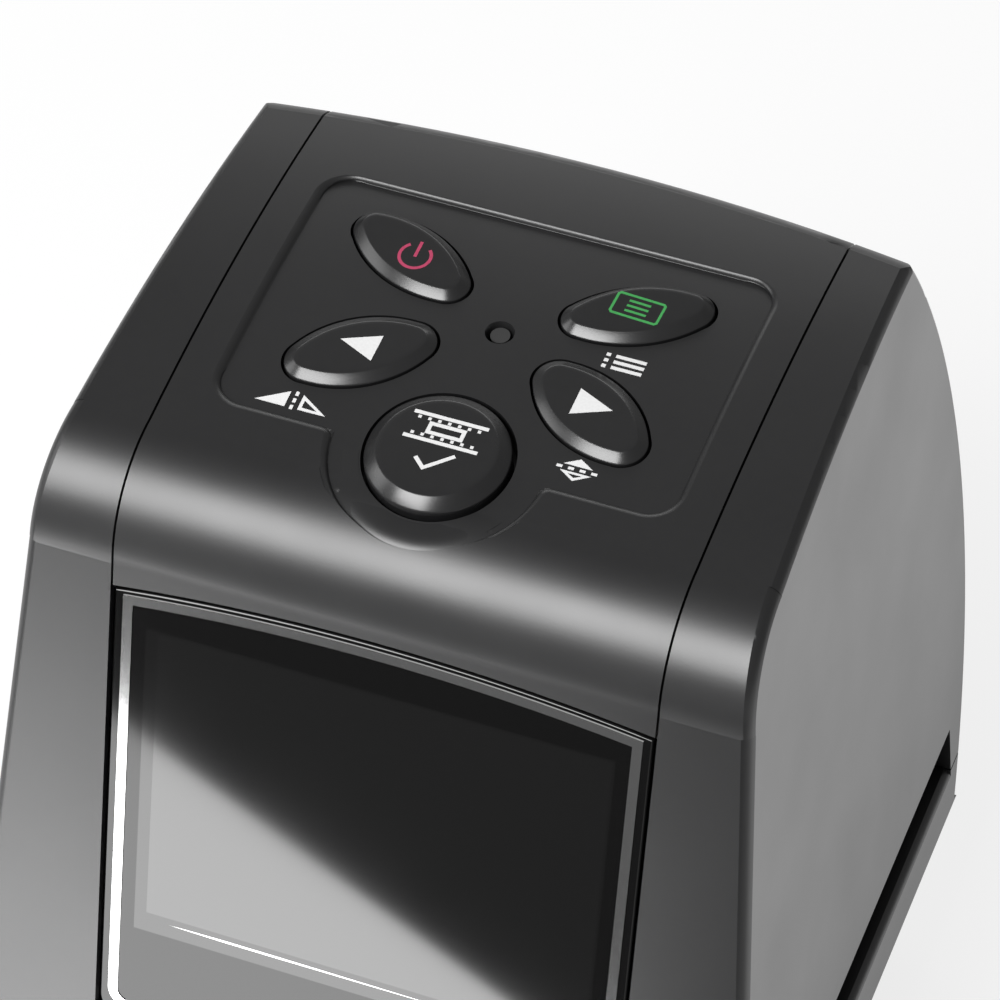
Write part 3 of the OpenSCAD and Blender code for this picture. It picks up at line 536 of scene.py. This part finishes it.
def film(shape, lay, height, ink=0.035, sink=0.05, line=None, area=None, closed=False):
    """Adds a printed line or area to a mesh. lay puts a flat point at a height, and height
    gives that height. The film reaches ink above it and sink below it."""
    def both(p):
        h = height(p[0], p[1])
        return shape.verts.new(lay(p[0], p[1], h + ink)), shape.verts.new(lay(p[0], p[1], h - sink))

    if area:
        verts = [both(p) for p in area]
        shape.faces.new([top for top, low in verts])
        shape.faces.new([low for top, low in reversed(verts)])
        for (t0, l0), (t1, l1) in zip(verts, verts[1:] + verts[:1]):
            shape.faces.new((t0, l0, l1, t1))
        return
    rows = [(both(left), both(right)) for left, right in line]
    steps = list(zip(rows, rows[1:] + rows[:1])) if closed else list(zip(rows, rows[1:]))
    for ((tl0, ll0), (tr0, lr0)), ((tl1, ll1), (tr1, lr1)) in steps:
        shape.faces.new((tl0, tr0, tr1, tl1))
        shape.faces.new((ll0, ll1, lr1, lr0))
        shape.faces.new((tr0, lr0, lr1, tr1))
        shape.faces.new((tl0, tl1, ll1, ll0))
    if not closed:
        (t0, l0), (t1, l1) = rows[0]
        shape.faces.new((t0, l0, l1, t1))
        (t0, l0), (t1, l1) = rows[-1]
        shape.faces.new((t1, l1, l0, t0))


def sign(name, finish, body, height, lines=(), loops=(), areas=(), width=0.36):
    """A sign of open lines, closed loops and filled areas on the key panel or on a key."""
    shape = bmesh.new()
    for points in lines:
        film(shape, on_panel, height, line=stroke(points, width))
    for points in loops:
        edges = stroke(points, width, closed=True)
        film(shape, on_panel, height, line=edges, closed=True)
    for points in areas:
        film(shape, on_panel, height, area=points)
    bmesh.ops.recalc_face_normals(shape, faces=shape.faces)
    return piece(name, shape, finish, body, angle=20)


print("strokes and films are ready")

# %% [markdown]
# ## The inks and the signs
# Three inks, each a little uneven. Signs on a key ride with the key, and signs
# beside the keys stay on the housing.

# %% Inks and signs
white_ink = Finish("white_ink", Base_Color=grey(0.62), Roughness=0.45)
white_ink.set("Base Color", white_ink.tint(
    white_ink.noise(4.0, detail=3), grey(0.55), grey(0.68)))
red_ink = Finish("red_ink", Base_Color=(0.36, 0.035, 0.09), Roughness=0.45)
red_ink.set("Base Color", red_ink.tint(
    red_ink.noise(4.0), (0.30, 0.025, 0.07), (0.42, 0.045, 0.11)))
green_ink = Finish("green_ink", Base_Color=(0.035, 0.26, 0.06), Roughness=0.45)
green_ink.set("Base Color", green_ink.tint(
    green_ink.noise(4.0), (0.028, 0.21, 0.05), (0.045, 0.31, 0.075)))


def key_top(rise=0.0):
    """The height of the ink on a key, seated a little in its top."""
    return lambda u, v: KEY_TOP - 0.012 + rise


def turned(points, at, turn=0.0):
    c, s = cos(radians(turn)), sin(radians(turn))
    return [(at[0] + x * c - y * s, at[1] + x * s + y * c) for x, y in points]


standby = (-11.46, 6.06)
sign("sign_standby", red_ink, "power_key", key_top(), width=0.34,
     lines=[arc(standby, 1.62, radians(128), radians(412), 40),
            [(standby[0], 5.95), (standby[0], 8.0)]])
for side, body in ((-1, "left_key"), (1, "right_key")):
    tip = [(side * 10.46, -8.16), (side * 14.38, -6.46), (side * 10.46, -4.76)]
    sign("sign_arrow_" + body, white_ink, body, key_top(), areas=[tip])
frame_at = (12.08, 6.72)
sign("sign_list_frame", green_ink, "menu_key", key_top(), width=0.27,
     loops=[turned([(-2.5, -1.15), (-2.3, -1.35), (2.3, -1.35), (2.5, -1.15), (2.5, 1.15),
                    (2.3, 1.35), (-2.3, 1.35), (-2.5, 1.15)], frame_at, -3)],
     lines=[turned([(-1.15, y), (1.15, y)], frame_at, -3) for y in (-0.66, 0, 0.66)])
list_rows = (-0.72, 0.05, 0.82)
sign("sign_list", white_ink, "housing", floor_over, width=0.40,
     lines=[[(11.0, y), (11.45, y)] for y in list_rows] +
           [[(12.0, y), (15.2, y)] for y in list_rows])
sign("sign_mirror", white_ink, "housing", floor_over, width=0.34,
     lines=[[(-16.05, y), (-16.05, y + 0.5)] for y in (-15.65, -14.8, -13.95)],
     areas=[[(-16.75, -15.5), (-16.75, -13.6), (-19.9, -15.5)]],
     loops=[[(-15.2, -15.33), (-12.9, -15.33), (-15.2, -13.95)]])
sign("sign_flip", white_ink, "housing", floor_over, width=0.30,
     lines=[[(x, -13.8), (x + 0.6, -13.8)] for x in (11.3, 12.5, 13.7, 14.9)],
     areas=[[(11.9, -13.4), (14.9, -13.4), (13.4, -12.5)]],
     loops=[[(12.2, -14.3), (13.4, -15.0), (14.6, -14.3)]])
holes = [[(x, y - 0.14), (x + 0.34, y - 0.14), (x + 0.34, y + 0.2), (x, y + 0.2)]
         for x in (-3.3, -2.26, -1.22, -0.18, 0.86, 1.9, 2.94) for y in (-15.35, -13.3)]
sign("sign_film_and_tick", white_ink, "scan_key", key_top(SCAN_RISE), width=0.42,
     loops=[[(-1.75, -14.86), (1.75, -14.86), (1.75, -13.74), (-1.75, -13.74)]],
     lines=[[(-3.9, -15.86), (3.9, -15.86)], [(-3.9, -12.74), (3.9, -12.74)],
            [(-1.7, -18.1), (-0.5, -19.2), (2.0, -16.9)]],
     areas=holes)

# %% [markdown]
# ## The top cover and its sunk panel
# The panel round the keys is sunk by 0.6 mm, and its wall runs out in a soft
# lip, as polished moulds leave it. The solid has a plain upright step there. A
# copy of the solid is welded, and a moulding cutter, swept along the panel's
# outline on the curved top, is taken off it with a Boolean. That keeps the
# bosses and collars inside the cover as they are.

# %% Outline of the sunk panel
def panel_outline():
    """Points, outward directions and softness round the sunk panel, with its round end."""
    half_u, low, high, corner, lobe, blend = 24.0, -16.7, 15.0, 3.0, 10.85, 1.3
    points = []

    def turn(u, v, r, start, end, count, outward=1, soft=0.0):
        for i in range(count + 1):
            a = radians(start + (end - start) * i / count)
            points.append((u + r * cos(a), v + r * sin(a), outward * cos(a),
                           outward * sin(a), 1 + soft * abs(sin(a))))

    def run(u0, v0, u1, v1, nu, nv, count, soft=0.0):
        for i in range(1, count):
            points.append((u0 + (u1 - u0) * i / count, v0 + (v1 - v0) * i / count,
                           nu, nv, 1 + soft))

    far, front, back = half_u - corner, low + corner, high - corner
    reach = sqrt((lobe + blend) ** 2 - (blend + 0.3) ** 2)
    lean = degrees(atan2(low - blend - SCAN_V, reach))
    run(half_u, front, half_u, back, 1, 0, 20)
    turn(far, back, corner, 0, 90, 10, soft=-0.55)
    run(far, high, -far, high, 0, 1, 36, soft=-0.55)
    turn(-far, back, corner, 90, 180, 10, soft=-0.55)
    run(-half_u, back, -half_u, front, -1, 0, 20)
    turn(-far, front, corner, 180, 270, 10)
    run(-far, low, -reach, low, 0, -1, 8)
    turn(-reach, low - blend, blend, 90, lean, 8, outward=-1)
    turn(0, SCAN_V, lobe, 180 - lean, 360 + lean, 48, soft=-0.45)
    turn(reach, low - blend, blend, 180 - lean, 90, 8, outward=-1)
    run(reach, low, far, low, 0, -1, 8)
    turn(far, front, corner, 270, 360, 10)
    return points


# How far out from the outline, and how high over the skin
LIP = [(-0.8, -0.57), (0.02, -0.57), (0.10, -0.46), (0.24, -0.28), (0.42, -0.14),
       (0.62, -0.055), (0.82, -0.012), (1.05, 0.02), (1.05, 1.2), (-0.8, 1.2)]


def on_skin(u, v, lift):
    h, face = skin_over(v)
    point = on_panel(u, v, h) / MM
    return Vector((point.x, point.y + face.x * lift, point.z + face.y * lift)) * MM


def lip_cutter():
    """The lip's profile swept round the outline, as an object to cut with."""
    shape = bmesh.new()
    rows = [[shape.verts.new(on_skin(u + out * soft * nu, v + out * soft * nv, lift))
             for out, lift in LIP] for u, v, nu, nv, soft in panel_outline()]
    for here, there in zip(rows, rows[1:] + rows[:1]):
        bridge(shape, here, there)
    bmesh.ops.recalc_face_normals(shape, faces=shape.faces)
    return add("lip_cutter", mesh_of("lip_cutter", shape))


def welded(name):
    """A copy of a solid's mesh with its loose triangles joined."""
    shape = bmesh.new()
    shape.from_mesh(nodes[name].data)
    shape.transform(nodes[name].matrix_world)
    bmesh.ops.remove_doubles(shape, verts=shape.verts, dist=0.002 * MM)
    return shape


cutter = lip_cutter()
blank = add("blank", mesh_of("blank", welded("top_cover")))
cut = blank.modifiers.new("cut", "BOOLEAN")
cut.operation, cut.solver, cut.use_self, cut.object = "DIFFERENCE", "EXACT", True, cutter
bpy.context.view_layer.update()
evaluated = blank.evaluated_get(bpy.context.evaluated_depsgraph_get())
shape = bmesh.new()
shape.from_mesh(bpy.data.meshes.new_from_object(evaluated))
bpy.data.objects.remove(cutter)
bpy.data.objects.remove(blank)
print("cover with its lip:", len(nodes["top_cover"].data.polygons), "->", len(shape.faces),
      "faces, open edges", sum(1 for e in shape.edges if len(e.link_faces) != 2))
top_skin = piece("top_cover_skin", shape, housing_black, "housing", angle=22)
NEAR = 0.03         # a point this close to an arc is taken to lie on it


def exact_way(y, z):
    """The way the skin or the sunk floor faces at a point of the side view, or None off them."""
    point = Vector((y, z))
    for depth in (0.0, SUNK):
        in_front = y < BEND_Y + depth * 0.15
        for middle, r, front in ((TOP_AT, TOP_R, False), (BLEND_AT, BLEND_R, True)):
            gap = point - middle
            if abs(gap.length - (r - depth)) < NEAR and in_front == front and z > 87.0:
                return gap.normalized()
    out = Vector((-cos(LEAN), sin(LEAN)))
    if abs((point - Vector((FRONT_AT.y, FRONT_AT.z))).dot(out)) < NEAR:
        return out
    return None


def true_normals(mesh):
    """Shades the faces on the domed skin by its arcs, so that long faces show no streaks."""
    ways = [exact_way(vert.co.y / MM, vert.co.z / MM) for vert in mesh.vertices]
    normals = [Vector(n.vector) for n in mesh.corner_normals]
    count = 0
    for face in mesh.polygons:
        faces = Vector((face.normal.y, face.normal.z))
        if all(ways[i] is not None and ways[i].dot(faces) > 0.9 for i in face.vertices):
            count += 1
            for loop in face.loop_indices:
                way = ways[mesh.loops[loop].vertex_index]
                normals[loop] = Vector((0, way.x, way.y))
    mesh.normals_split_custom_set([tuple(n) for n in normals])
    return count


print("faces shaded by the arcs:", true_normals(top_skin.data))
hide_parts("top_cover")

# %% [markdown]
# ## The flat round the scan key
# The scan key sits so far forward that the cover already bends down beside it.
# The real cover has a flat there, in line with the sunk panel, which stands a
# little proud of the bend and rounds over into it. It is drawn as arcs about the
# key, each point set a given drop below the floor of the panel.

# %% Flat
# Distance from the key's axis, and drop below the floor of the panel
FLAT = [(7.75, 2.3), (7.75, 0.12), (7.87, 0.0), (9.2, 0.0), (9.7, 0.03), (10.1, 0.10),
        (10.5, 0.24), (10.8, 0.42), (11.1, 0.70), (11.35, 1.05), (11.6, 1.5), (11.65, 2.3)]
FLAT_LIFT = 0.015   # keeps it clear of the solid's own floor
FLAT_FROM, FLAT_SPAN, FLAT_STEPS = -168, 156, 72


def flat_point(radius, drop, angle):
    u, v = radius * cos(angle), SCAN_V + radius * sin(angle)
    return on_panel(u, v, floor_over(u, v) + FLAT_LIFT - drop)


shape = bmesh.new()
angles = [radians(FLAT_FROM + FLAT_SPAN * i / FLAT_STEPS) for i in range(FLAT_STEPS + 1)]
grid = [[shape.verts.new(flat_point(*row, angle)) for row in FLAT] for angle in angles]
for here, there in zip(grid, grid[1:]):
    bridge(shape, here, there)
shape.faces.new(grid[0][::-1])
shape.faces.new(grid[-1])
bmesh.ops.recalc_face_normals(shape, faces=shape.faces)
flat = piece("scan_flat", shape, housing_black, "housing", angle=40)
print("flat with", len(flat.data.polygons), "faces")

# %% [markdown]
# ## The window
# One pane covers the whole front. A black border is printed on its back, and
# the clear middle shows the screen, so the middle mirrors a little more light
# than the border: the pane, its back and the screen's own face add up. The pane
# is drawn with a ground edge, and its front face is cut into border, a narrow
# step where the screen's frame lies, and the picture area. A thin strip of
# silver on the pane's face is a painted highlight. It stands in for the light
# that the lower edge of the screen's frame catches.

# %% Window pane
def window_black(name, shade, ior):
    finish = Finish(name, Base_Color=grey(shade), Roughness=0.10, IOR=ior)
    return finish.set("Roughness", finish.noise(0.05) * 0.03 + 0.055)


border_black = window_black("border_black", 0.002, 1.46)
step_black = window_black("step_black", 0.0025, 1.6)
picture_black = window_black("picture_black", 0.0025, 1.70)


def pane_outline(inset):
    """The pane's edge, less an inset: rounded lower corners and an arched upper edge."""
    w, low, r, arch = 28.35 - inset, -53.2 + inset, 3 - inset, 216 - inset
    across = [w * (1 - 2 * i / 40) for i in range(41)]
    return (arc((-w + r, low + r), r, pi, 1.5 * pi, 12) + [(-w + r, low)] +
            arc((w - r, low + r), r, 1.5 * pi, 2 * pi, 12) + [(w, low + r)] +
            [(x, 2.35 - 216 + sqrt(arch ** 2 - x ** 2)) for x in across])


# Left, right, lower and upper edge of the clear window, and of the picture in it
WINDOW, PICTURE = (-24.78, 24.78, -40.56, -3.24), (-23.45, 24.48, -38.16, -3.54)


FACE = -0.15        # the pane's front face, below the plane of the front


def window_pane():
    shape = bmesh.new()
    profile = [(0, -1.45), (0, -0.42), (0.06, -0.28), (0.24, FACE)]
    rows = [[shape.verts.new(on_front(x, y, h)) for x, y in pane_outline(inset)]
            for inset, h in profile]
    for low, high in zip(rows, rows[1:]):
        bridge(shape, low, high)
    shape.faces.new(rows[0][::-1])
    boxes = [[shape.verts.new(on_front(x, y, FACE))
              for x, y in ((left, low), (right, low), (right, high), (left, high))]
             for left, right, low, high in (WINDOW, PICTURE)]
    edges = [shape.edges.get((a, b)) or shape.edges.new((a, b))
             for ring in (rows[-1], boxes[0]) for a, b in zip(ring, ring[1:] + ring[:1])]
    bmesh.ops.triangle_fill(shape, edges=edges, use_beauty=True)
    for face in bridge(shape, *boxes):
        face.material_index = 1
    shape.faces.new(boxes[1]).material_index = 2
    bmesh.ops.recalc_face_normals(shape, faces=shape.faces)
    return shape


pane = piece("window_pane", window_pane(), [border_black, step_black, picture_black],
             "housing")
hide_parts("screen_glass")

# A painted highlight: a thin silver strip on the pane's face that stands in for the light caught by
# the lower edge of the screen's frame.
painted_glint = bmesh.new()
left, right, high, half = -20.8, 10.8, WINDOW[2] + 1.6, 0.11
edge = [(left, high), (left + 6, high - half), (right - 20, high - half), (right, high),
        (right - 20, high + half), (left + 6, high + half)]
film(painted_glint, on_front, lambda x, y: FACE, ink=0.01, area=edge)
piece("window_glint", painted_glint, silver_print_and_glint, "housing", angle=20)
print("window pane with", len(pane.data.polygons), "faces")

# %% [markdown]
# ## Things that come in rows
# Feet, chip leads and contacts are one shape set down many times. They could be
# copied by hand, but a Geometry Nodes tree keeps the shape, its sizes and its
# places apart: the sizes are named inputs, and the places are the points of a
# small mesh, each with the way it is turned. The tree ends in one plain mesh.

# %% A tree that sets a shape on points
class Grower:
    """A Geometry Nodes tree whose sizes are named inputs."""

    def __init__(self, name):
        self.tree = bpy.data.node_groups.new(name, "GeometryNodeTree")
        self._socket("Places", "INPUT", "NodeSocketGeometry")
        self._socket("Made", "OUTPUT", "NodeSocketGeometry")
        self.inlet = self.tree.nodes.new("NodeGroupInput")
        self.sizes = {}

    def _socket(self, name, side, kind):
        return self.tree.interface.new_socket(name=name, in_out=side, socket_type=kind)

    def size(self, name, mm):
        socket = self._socket(name, "INPUT", "NodeSocketFloat")
        self.sizes[socket.identifier] = mm * MM
        return self.inlet.outputs[name]

    def node(self, kind, settings=None, sockets=None):
        return new_node(self.tree, kind, settings, sockets)

    def grow(self, name, places, shape, finish, body, slot):
        """places are (x, y, z, turn about the upright in degrees), in millimetres."""
        turn = self.node("GeometryNodeInputNamedAttribute", {"data_type": "FLOAT_VECTOR"},
                         {"Name": "turn"})
        spread = self.node("GeometryNodeInstanceOnPoints", sockets={
            "Points": self.inlet.outputs["Places"], "Instance": shape,
            "Rotation": turn.outputs[0]})
        real = self.node("GeometryNodeRealizeInstances", sockets={0: spread.outputs[0]})
        coat = self.node("GeometryNodeSetMaterial", sockets={
            "Geometry": real.outputs[0], "Material": finish.material})
        self.node("NodeGroupOutput", sockets={"Made": coat.outputs[0]})

        points = bpy.data.meshes.new(name + "_places")
        points.from_pydata([Vector(p[:3]) * MM for p in places], [], [])
        turns = points.attributes.new("turn", "FLOAT_VECTOR", "POINT")
        turns.data.foreach_set("vector", [v for p in places for v in (0, 0, radians(p[3]))])
        holder = add(name + "_places", points)
        modifier = holder.modifiers.new("grow", "NODES")
        modifier.node_group = self.tree
        for identifier, value in self.sizes.items():
            modifier[identifier] = value
        bpy.context.view_layer.update()
        evaluated = holder.evaluated_get(bpy.context.evaluated_depsgraph_get())
        grown = bpy.data.meshes.new_from_object(evaluated)
        bpy.data.objects.remove(holder)
        plain = bmesh.new()
        plain.from_mesh(grown)
        print(name, "-", len(places), "places,", len(plain.faces), "faces")
        return piece(name, plain, finish, body)


print("a tree can now be grown on a list of places")

# %% [markdown]
# ## Rubber feet
# A foot is a die-cut pad with a softened lower edge and a shallow dish, which
# keeps it from rocking on a grain of dust. In the tree a short cylinder's lower
# face is pushed out and narrowed, ringed, and pushed back in.

# %% Feet
feet = Grower("foot_pad")
body = feet.node("GeometryNodeMeshCylinder", {"fill_type": "NGON"}, {
    "Vertices": 56, "Side Segments": 1, "Radius": feet.size("Radius", 4.5),
    "Depth": feet.size("Height", 2.45)})
solid, lower = body.outputs["Mesh"], body.outputs["Bottom"]
for push, depth, scale in (("Soft edge", 0.22, 0.955), ("Edge", 0.28, 0.955),
                           ("Rim", 0.0, 0.80), ("Dish", -0.35, 0.93)):
    pushed = feet.node("GeometryNodeExtrudeMesh", {"mode": "FACES"}, {
        "Mesh": solid, "Selection": lower, "Offset Scale": feet.size(push, depth),
        "Individual": False})
    narrow = feet.node("GeometryNodeScaleElements", {"domain": "FACE"}, {
        "Geometry": pushed.outputs["Mesh"], "Selection": pushed.outputs["Top"],
        "Scale": scale})
    solid, lower = narrow.outputs[0], pushed.outputs["Top"]
pads = feet.grow("foot_pads", [(x, y, 1.725, 0) for x in (-21, 21) for y in (-33, 15)],
                 solid, foot_rubber, "housing", "rubber")
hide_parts("rubber_feet")

# %% [markdown]
# ## Leads and contacts
# A chip's lead leaves its side, bends down and lies on the board: an S that one
# Bezier segment draws, with a flat section run along it. The card slot's spring
# contacts are the same idea with another bend.

# %% Chip leads and spring contacts
def bent_strip(grower, start, first, second, end, wide, thick):
    """A flat strip along one Bezier segment, in millimetres."""
    path = grower.node("GeometryNodeCurvePrimitiveBezierSegment", {"mode": "POSITION"}, {
        "Resolution": 8, "Start": Vector(start) * MM, "Start Handle": Vector(first) * MM,
        "End Handle": Vector(second) * MM, "End": Vector(end) * MM})
    section = grower.node("GeometryNodeCurvePrimitiveQuadrilateral", {"mode": "RECTANGLE"}, {
        "Width": grower.size("Width", wide), "Height": grower.size("Thickness", thick)})
    strip = grower.node("GeometryNodeCurveToMesh", sockets={
        "Curve": path.outputs[0], "Profile Curve": section.outputs[0], "Fill Caps": True})
    return strip.outputs[0]


BOARD = 75.65       # height of the main board's upper face
PITCH = 0.8         # from one lead to the next
leads = Grower("chip_lead")
rows = []
CHIPS = ((-8, 4, -12, 0, "x"), (-20, -11, -10, 2, "x"), (10, 20, -11, -3, "y"))
for x0, x1, y0, y1, sides in CHIPS:
    low, high = (y0, y1) if sides == "x" else (x0, x1)
    count = int((high - low - 1.0) / PITCH) + 1
    first = (low + high - (count - 1) * PITCH) / 2
    for at in (first + PITCH * i for i in range(count)):
        if sides == "x":
            rows += [(x1, at, BOARD, 0), (x0, at, BOARD, 180)]
        else:
            rows += [(at, y1, BOARD, 90), (at, y0, BOARD, -90)]
lead = bent_strip(leads, (-0.1, 0, 0.62), (0.55, 0, 0.62), (0.25, 0, 0.07), (1.0, 0, 0.07),
                  0.34, 0.12)
leads.grow("chip_leads", rows, lead, steel, "housing", "steel")
springs = Grower("card_contact")
contact = bent_strip(springs, (0, 0, 0.1), (2.5, 0, 0.1), (4.0, 0, 1.6), (6.5, 0, 0.75),
                     0.9, 0.16)
springs.grow("card_contacts", [(1.0 + 2.5 * i, 12.0, BOARD + 0.5, 90) for i in range(9)],
             contact, steel, "housing", "steel")

# %% [markdown]
# ## The studio
# A pale floor and an even room. To the camera, the floor and the world are plain
# white, and the floor keeps a fifth of its own shading, which shows the shadow.

# %% Floor and world
def most(tree, first, second):
    """A node that gives the larger of two sockets."""
    return new_node(tree, "ShaderNodeMath", {"operation": "MAXIMUM"}, {0: first, 1: second})


shape = bmesh.new()
bmesh.ops.create_grid(shape, x_segments=2, y_segments=2, size=6)
floor = add("floor", mesh_of("floor", shape))
floor_white = bpy.data.materials.new("floor_white")
tree = empty_tree(floor_white)
rays = new_node(tree, "ShaderNodeLightPath").outputs
seen = most(tree, rays["Is Camera Ray"], rays["Is Glossy Ray"])
seen = most(tree, seen.outputs[0], rays["Is Transmission Ray"])
share = new_node(tree, "ShaderNodeMath", {"operation": "MULTIPLY"}, {0: seen.outputs[0], 1: 0.8})
paper = new_node(tree, "ShaderNodeBsdfDiffuse", sockets={"Color": grey(0.85)})
white = new_node(tree, "ShaderNodeEmission", sockets={"Strength": 1.0})
mix = new_node(tree, "ShaderNodeMixShader", sockets={
    0: share.outputs[0], 1: paper.outputs[0], 2: white.outputs[0]})
new_node(tree, "ShaderNodeOutputMaterial", sockets={"Surface": mix.outputs[0]})
floor.data.materials.append(floor_white)
floor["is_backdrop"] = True

world = bpy.data.worlds.new("studio")
bpy.context.scene.world = world
sky = empty_tree(world)
room = new_node(sky, "ShaderNodeBackground", sockets={"Color": grey(0.29)})
bright = new_node(sky, "ShaderNodeBackground", sockets={"Color": grey(1)})
path = new_node(sky, "ShaderNodeLightPath")
blend = new_node(sky, "ShaderNodeMixShader", sockets={
    0: path.outputs["Is Camera Ray"], 1: room.outputs[0], 2: bright.outputs[0]})
new_node(sky, "ShaderNodeOutputWorld", sockets={"Surface": blend.outputs[0]})
print("floor and world are white to the camera")

# %% [markdown]
# ## Lamps
# A soft panel in front above the camera draws the bright band on the bend, and
# one at the left and one behind round the sides. Two lamps lie on the table: a
# faint one at the right, and at the front left a bright strip that the glass
# mirrors as a slanting field of light.

# %% Lamps
def lamp(name, place_mm, aim_mm, size_mm, glow, turn=0.0):
    """A flat lamp of this size whose face has the given brightness."""
    wide, high = (s * MM for s in size_mm)
    data = bpy.data.lights.new(name, "AREA")
    data.shape = "RECTANGLE"
    data.size, data.size_y = wide, high
    data.energy = glow * pi * wide * high
    made = add(name, data)
    made.location = Vector(place_mm) * MM
    aim = (Vector(aim_mm) * MM - made.location).normalized()
    facing = aim.to_track_quat("-Z", "Y").to_matrix() @ Matrix.Rotation(turn, 3, "Z")
    made.rotation_euler = facing.to_euler()
    made.visible_camera = False


lamp("front_panel", (-226, -590, 615), (0, -20, 90), (540, 440), 13.6)
lamp("left_panel", (-800, -200, 420), (0, 0, 90), (420, 420), 3.0)
lamp("back_panel", (-330, 900, 560), (0, 0, 60), (900, 360), 1.8)
lamp("table_right", (220, 80, 1.5), (220, 80, 100), (320, 460), 0.5)
lamp("table_strip", (-79.7, -110.6, 1.5), (-79.7, -110.6, 100), (170, 96), 6.2,
     turn=radians(-31.47))

# %% [markdown]
# ## A dark card
# A glossy window shows what lies in front of it. In a photographer's studio a
# grey card on the table keeps such a window dark, and the lamp on the card
# makes its slanting glare. The card is seen in reflections alone.

# %% Card
card_mesh = bpy.data.meshes.new("card")
corners = ((-420, -620), (330, -620), (330, -60), (-420, -60))
card_mesh.from_pydata([(x * MM, y * MM, 0.8 * MM) for x, y in corners], [], [(0, 1, 2, 3)])
card_mesh.materials.append(Finish("card_grey", Base_Color=grey(0.05), Roughness=0.9).material)
card = add("card", card_mesh)
card.visible_camera = card.visible_diffuse = card.visible_shadow = False
card.visible_transmission = False
card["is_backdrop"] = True
print("a card of", len(card_mesh.polygons), "face lies on the table")

low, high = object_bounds()
print("the dressed part reaches from", [round(v, 4) for v in low],
      "to", [round(v, 4) for v in high])
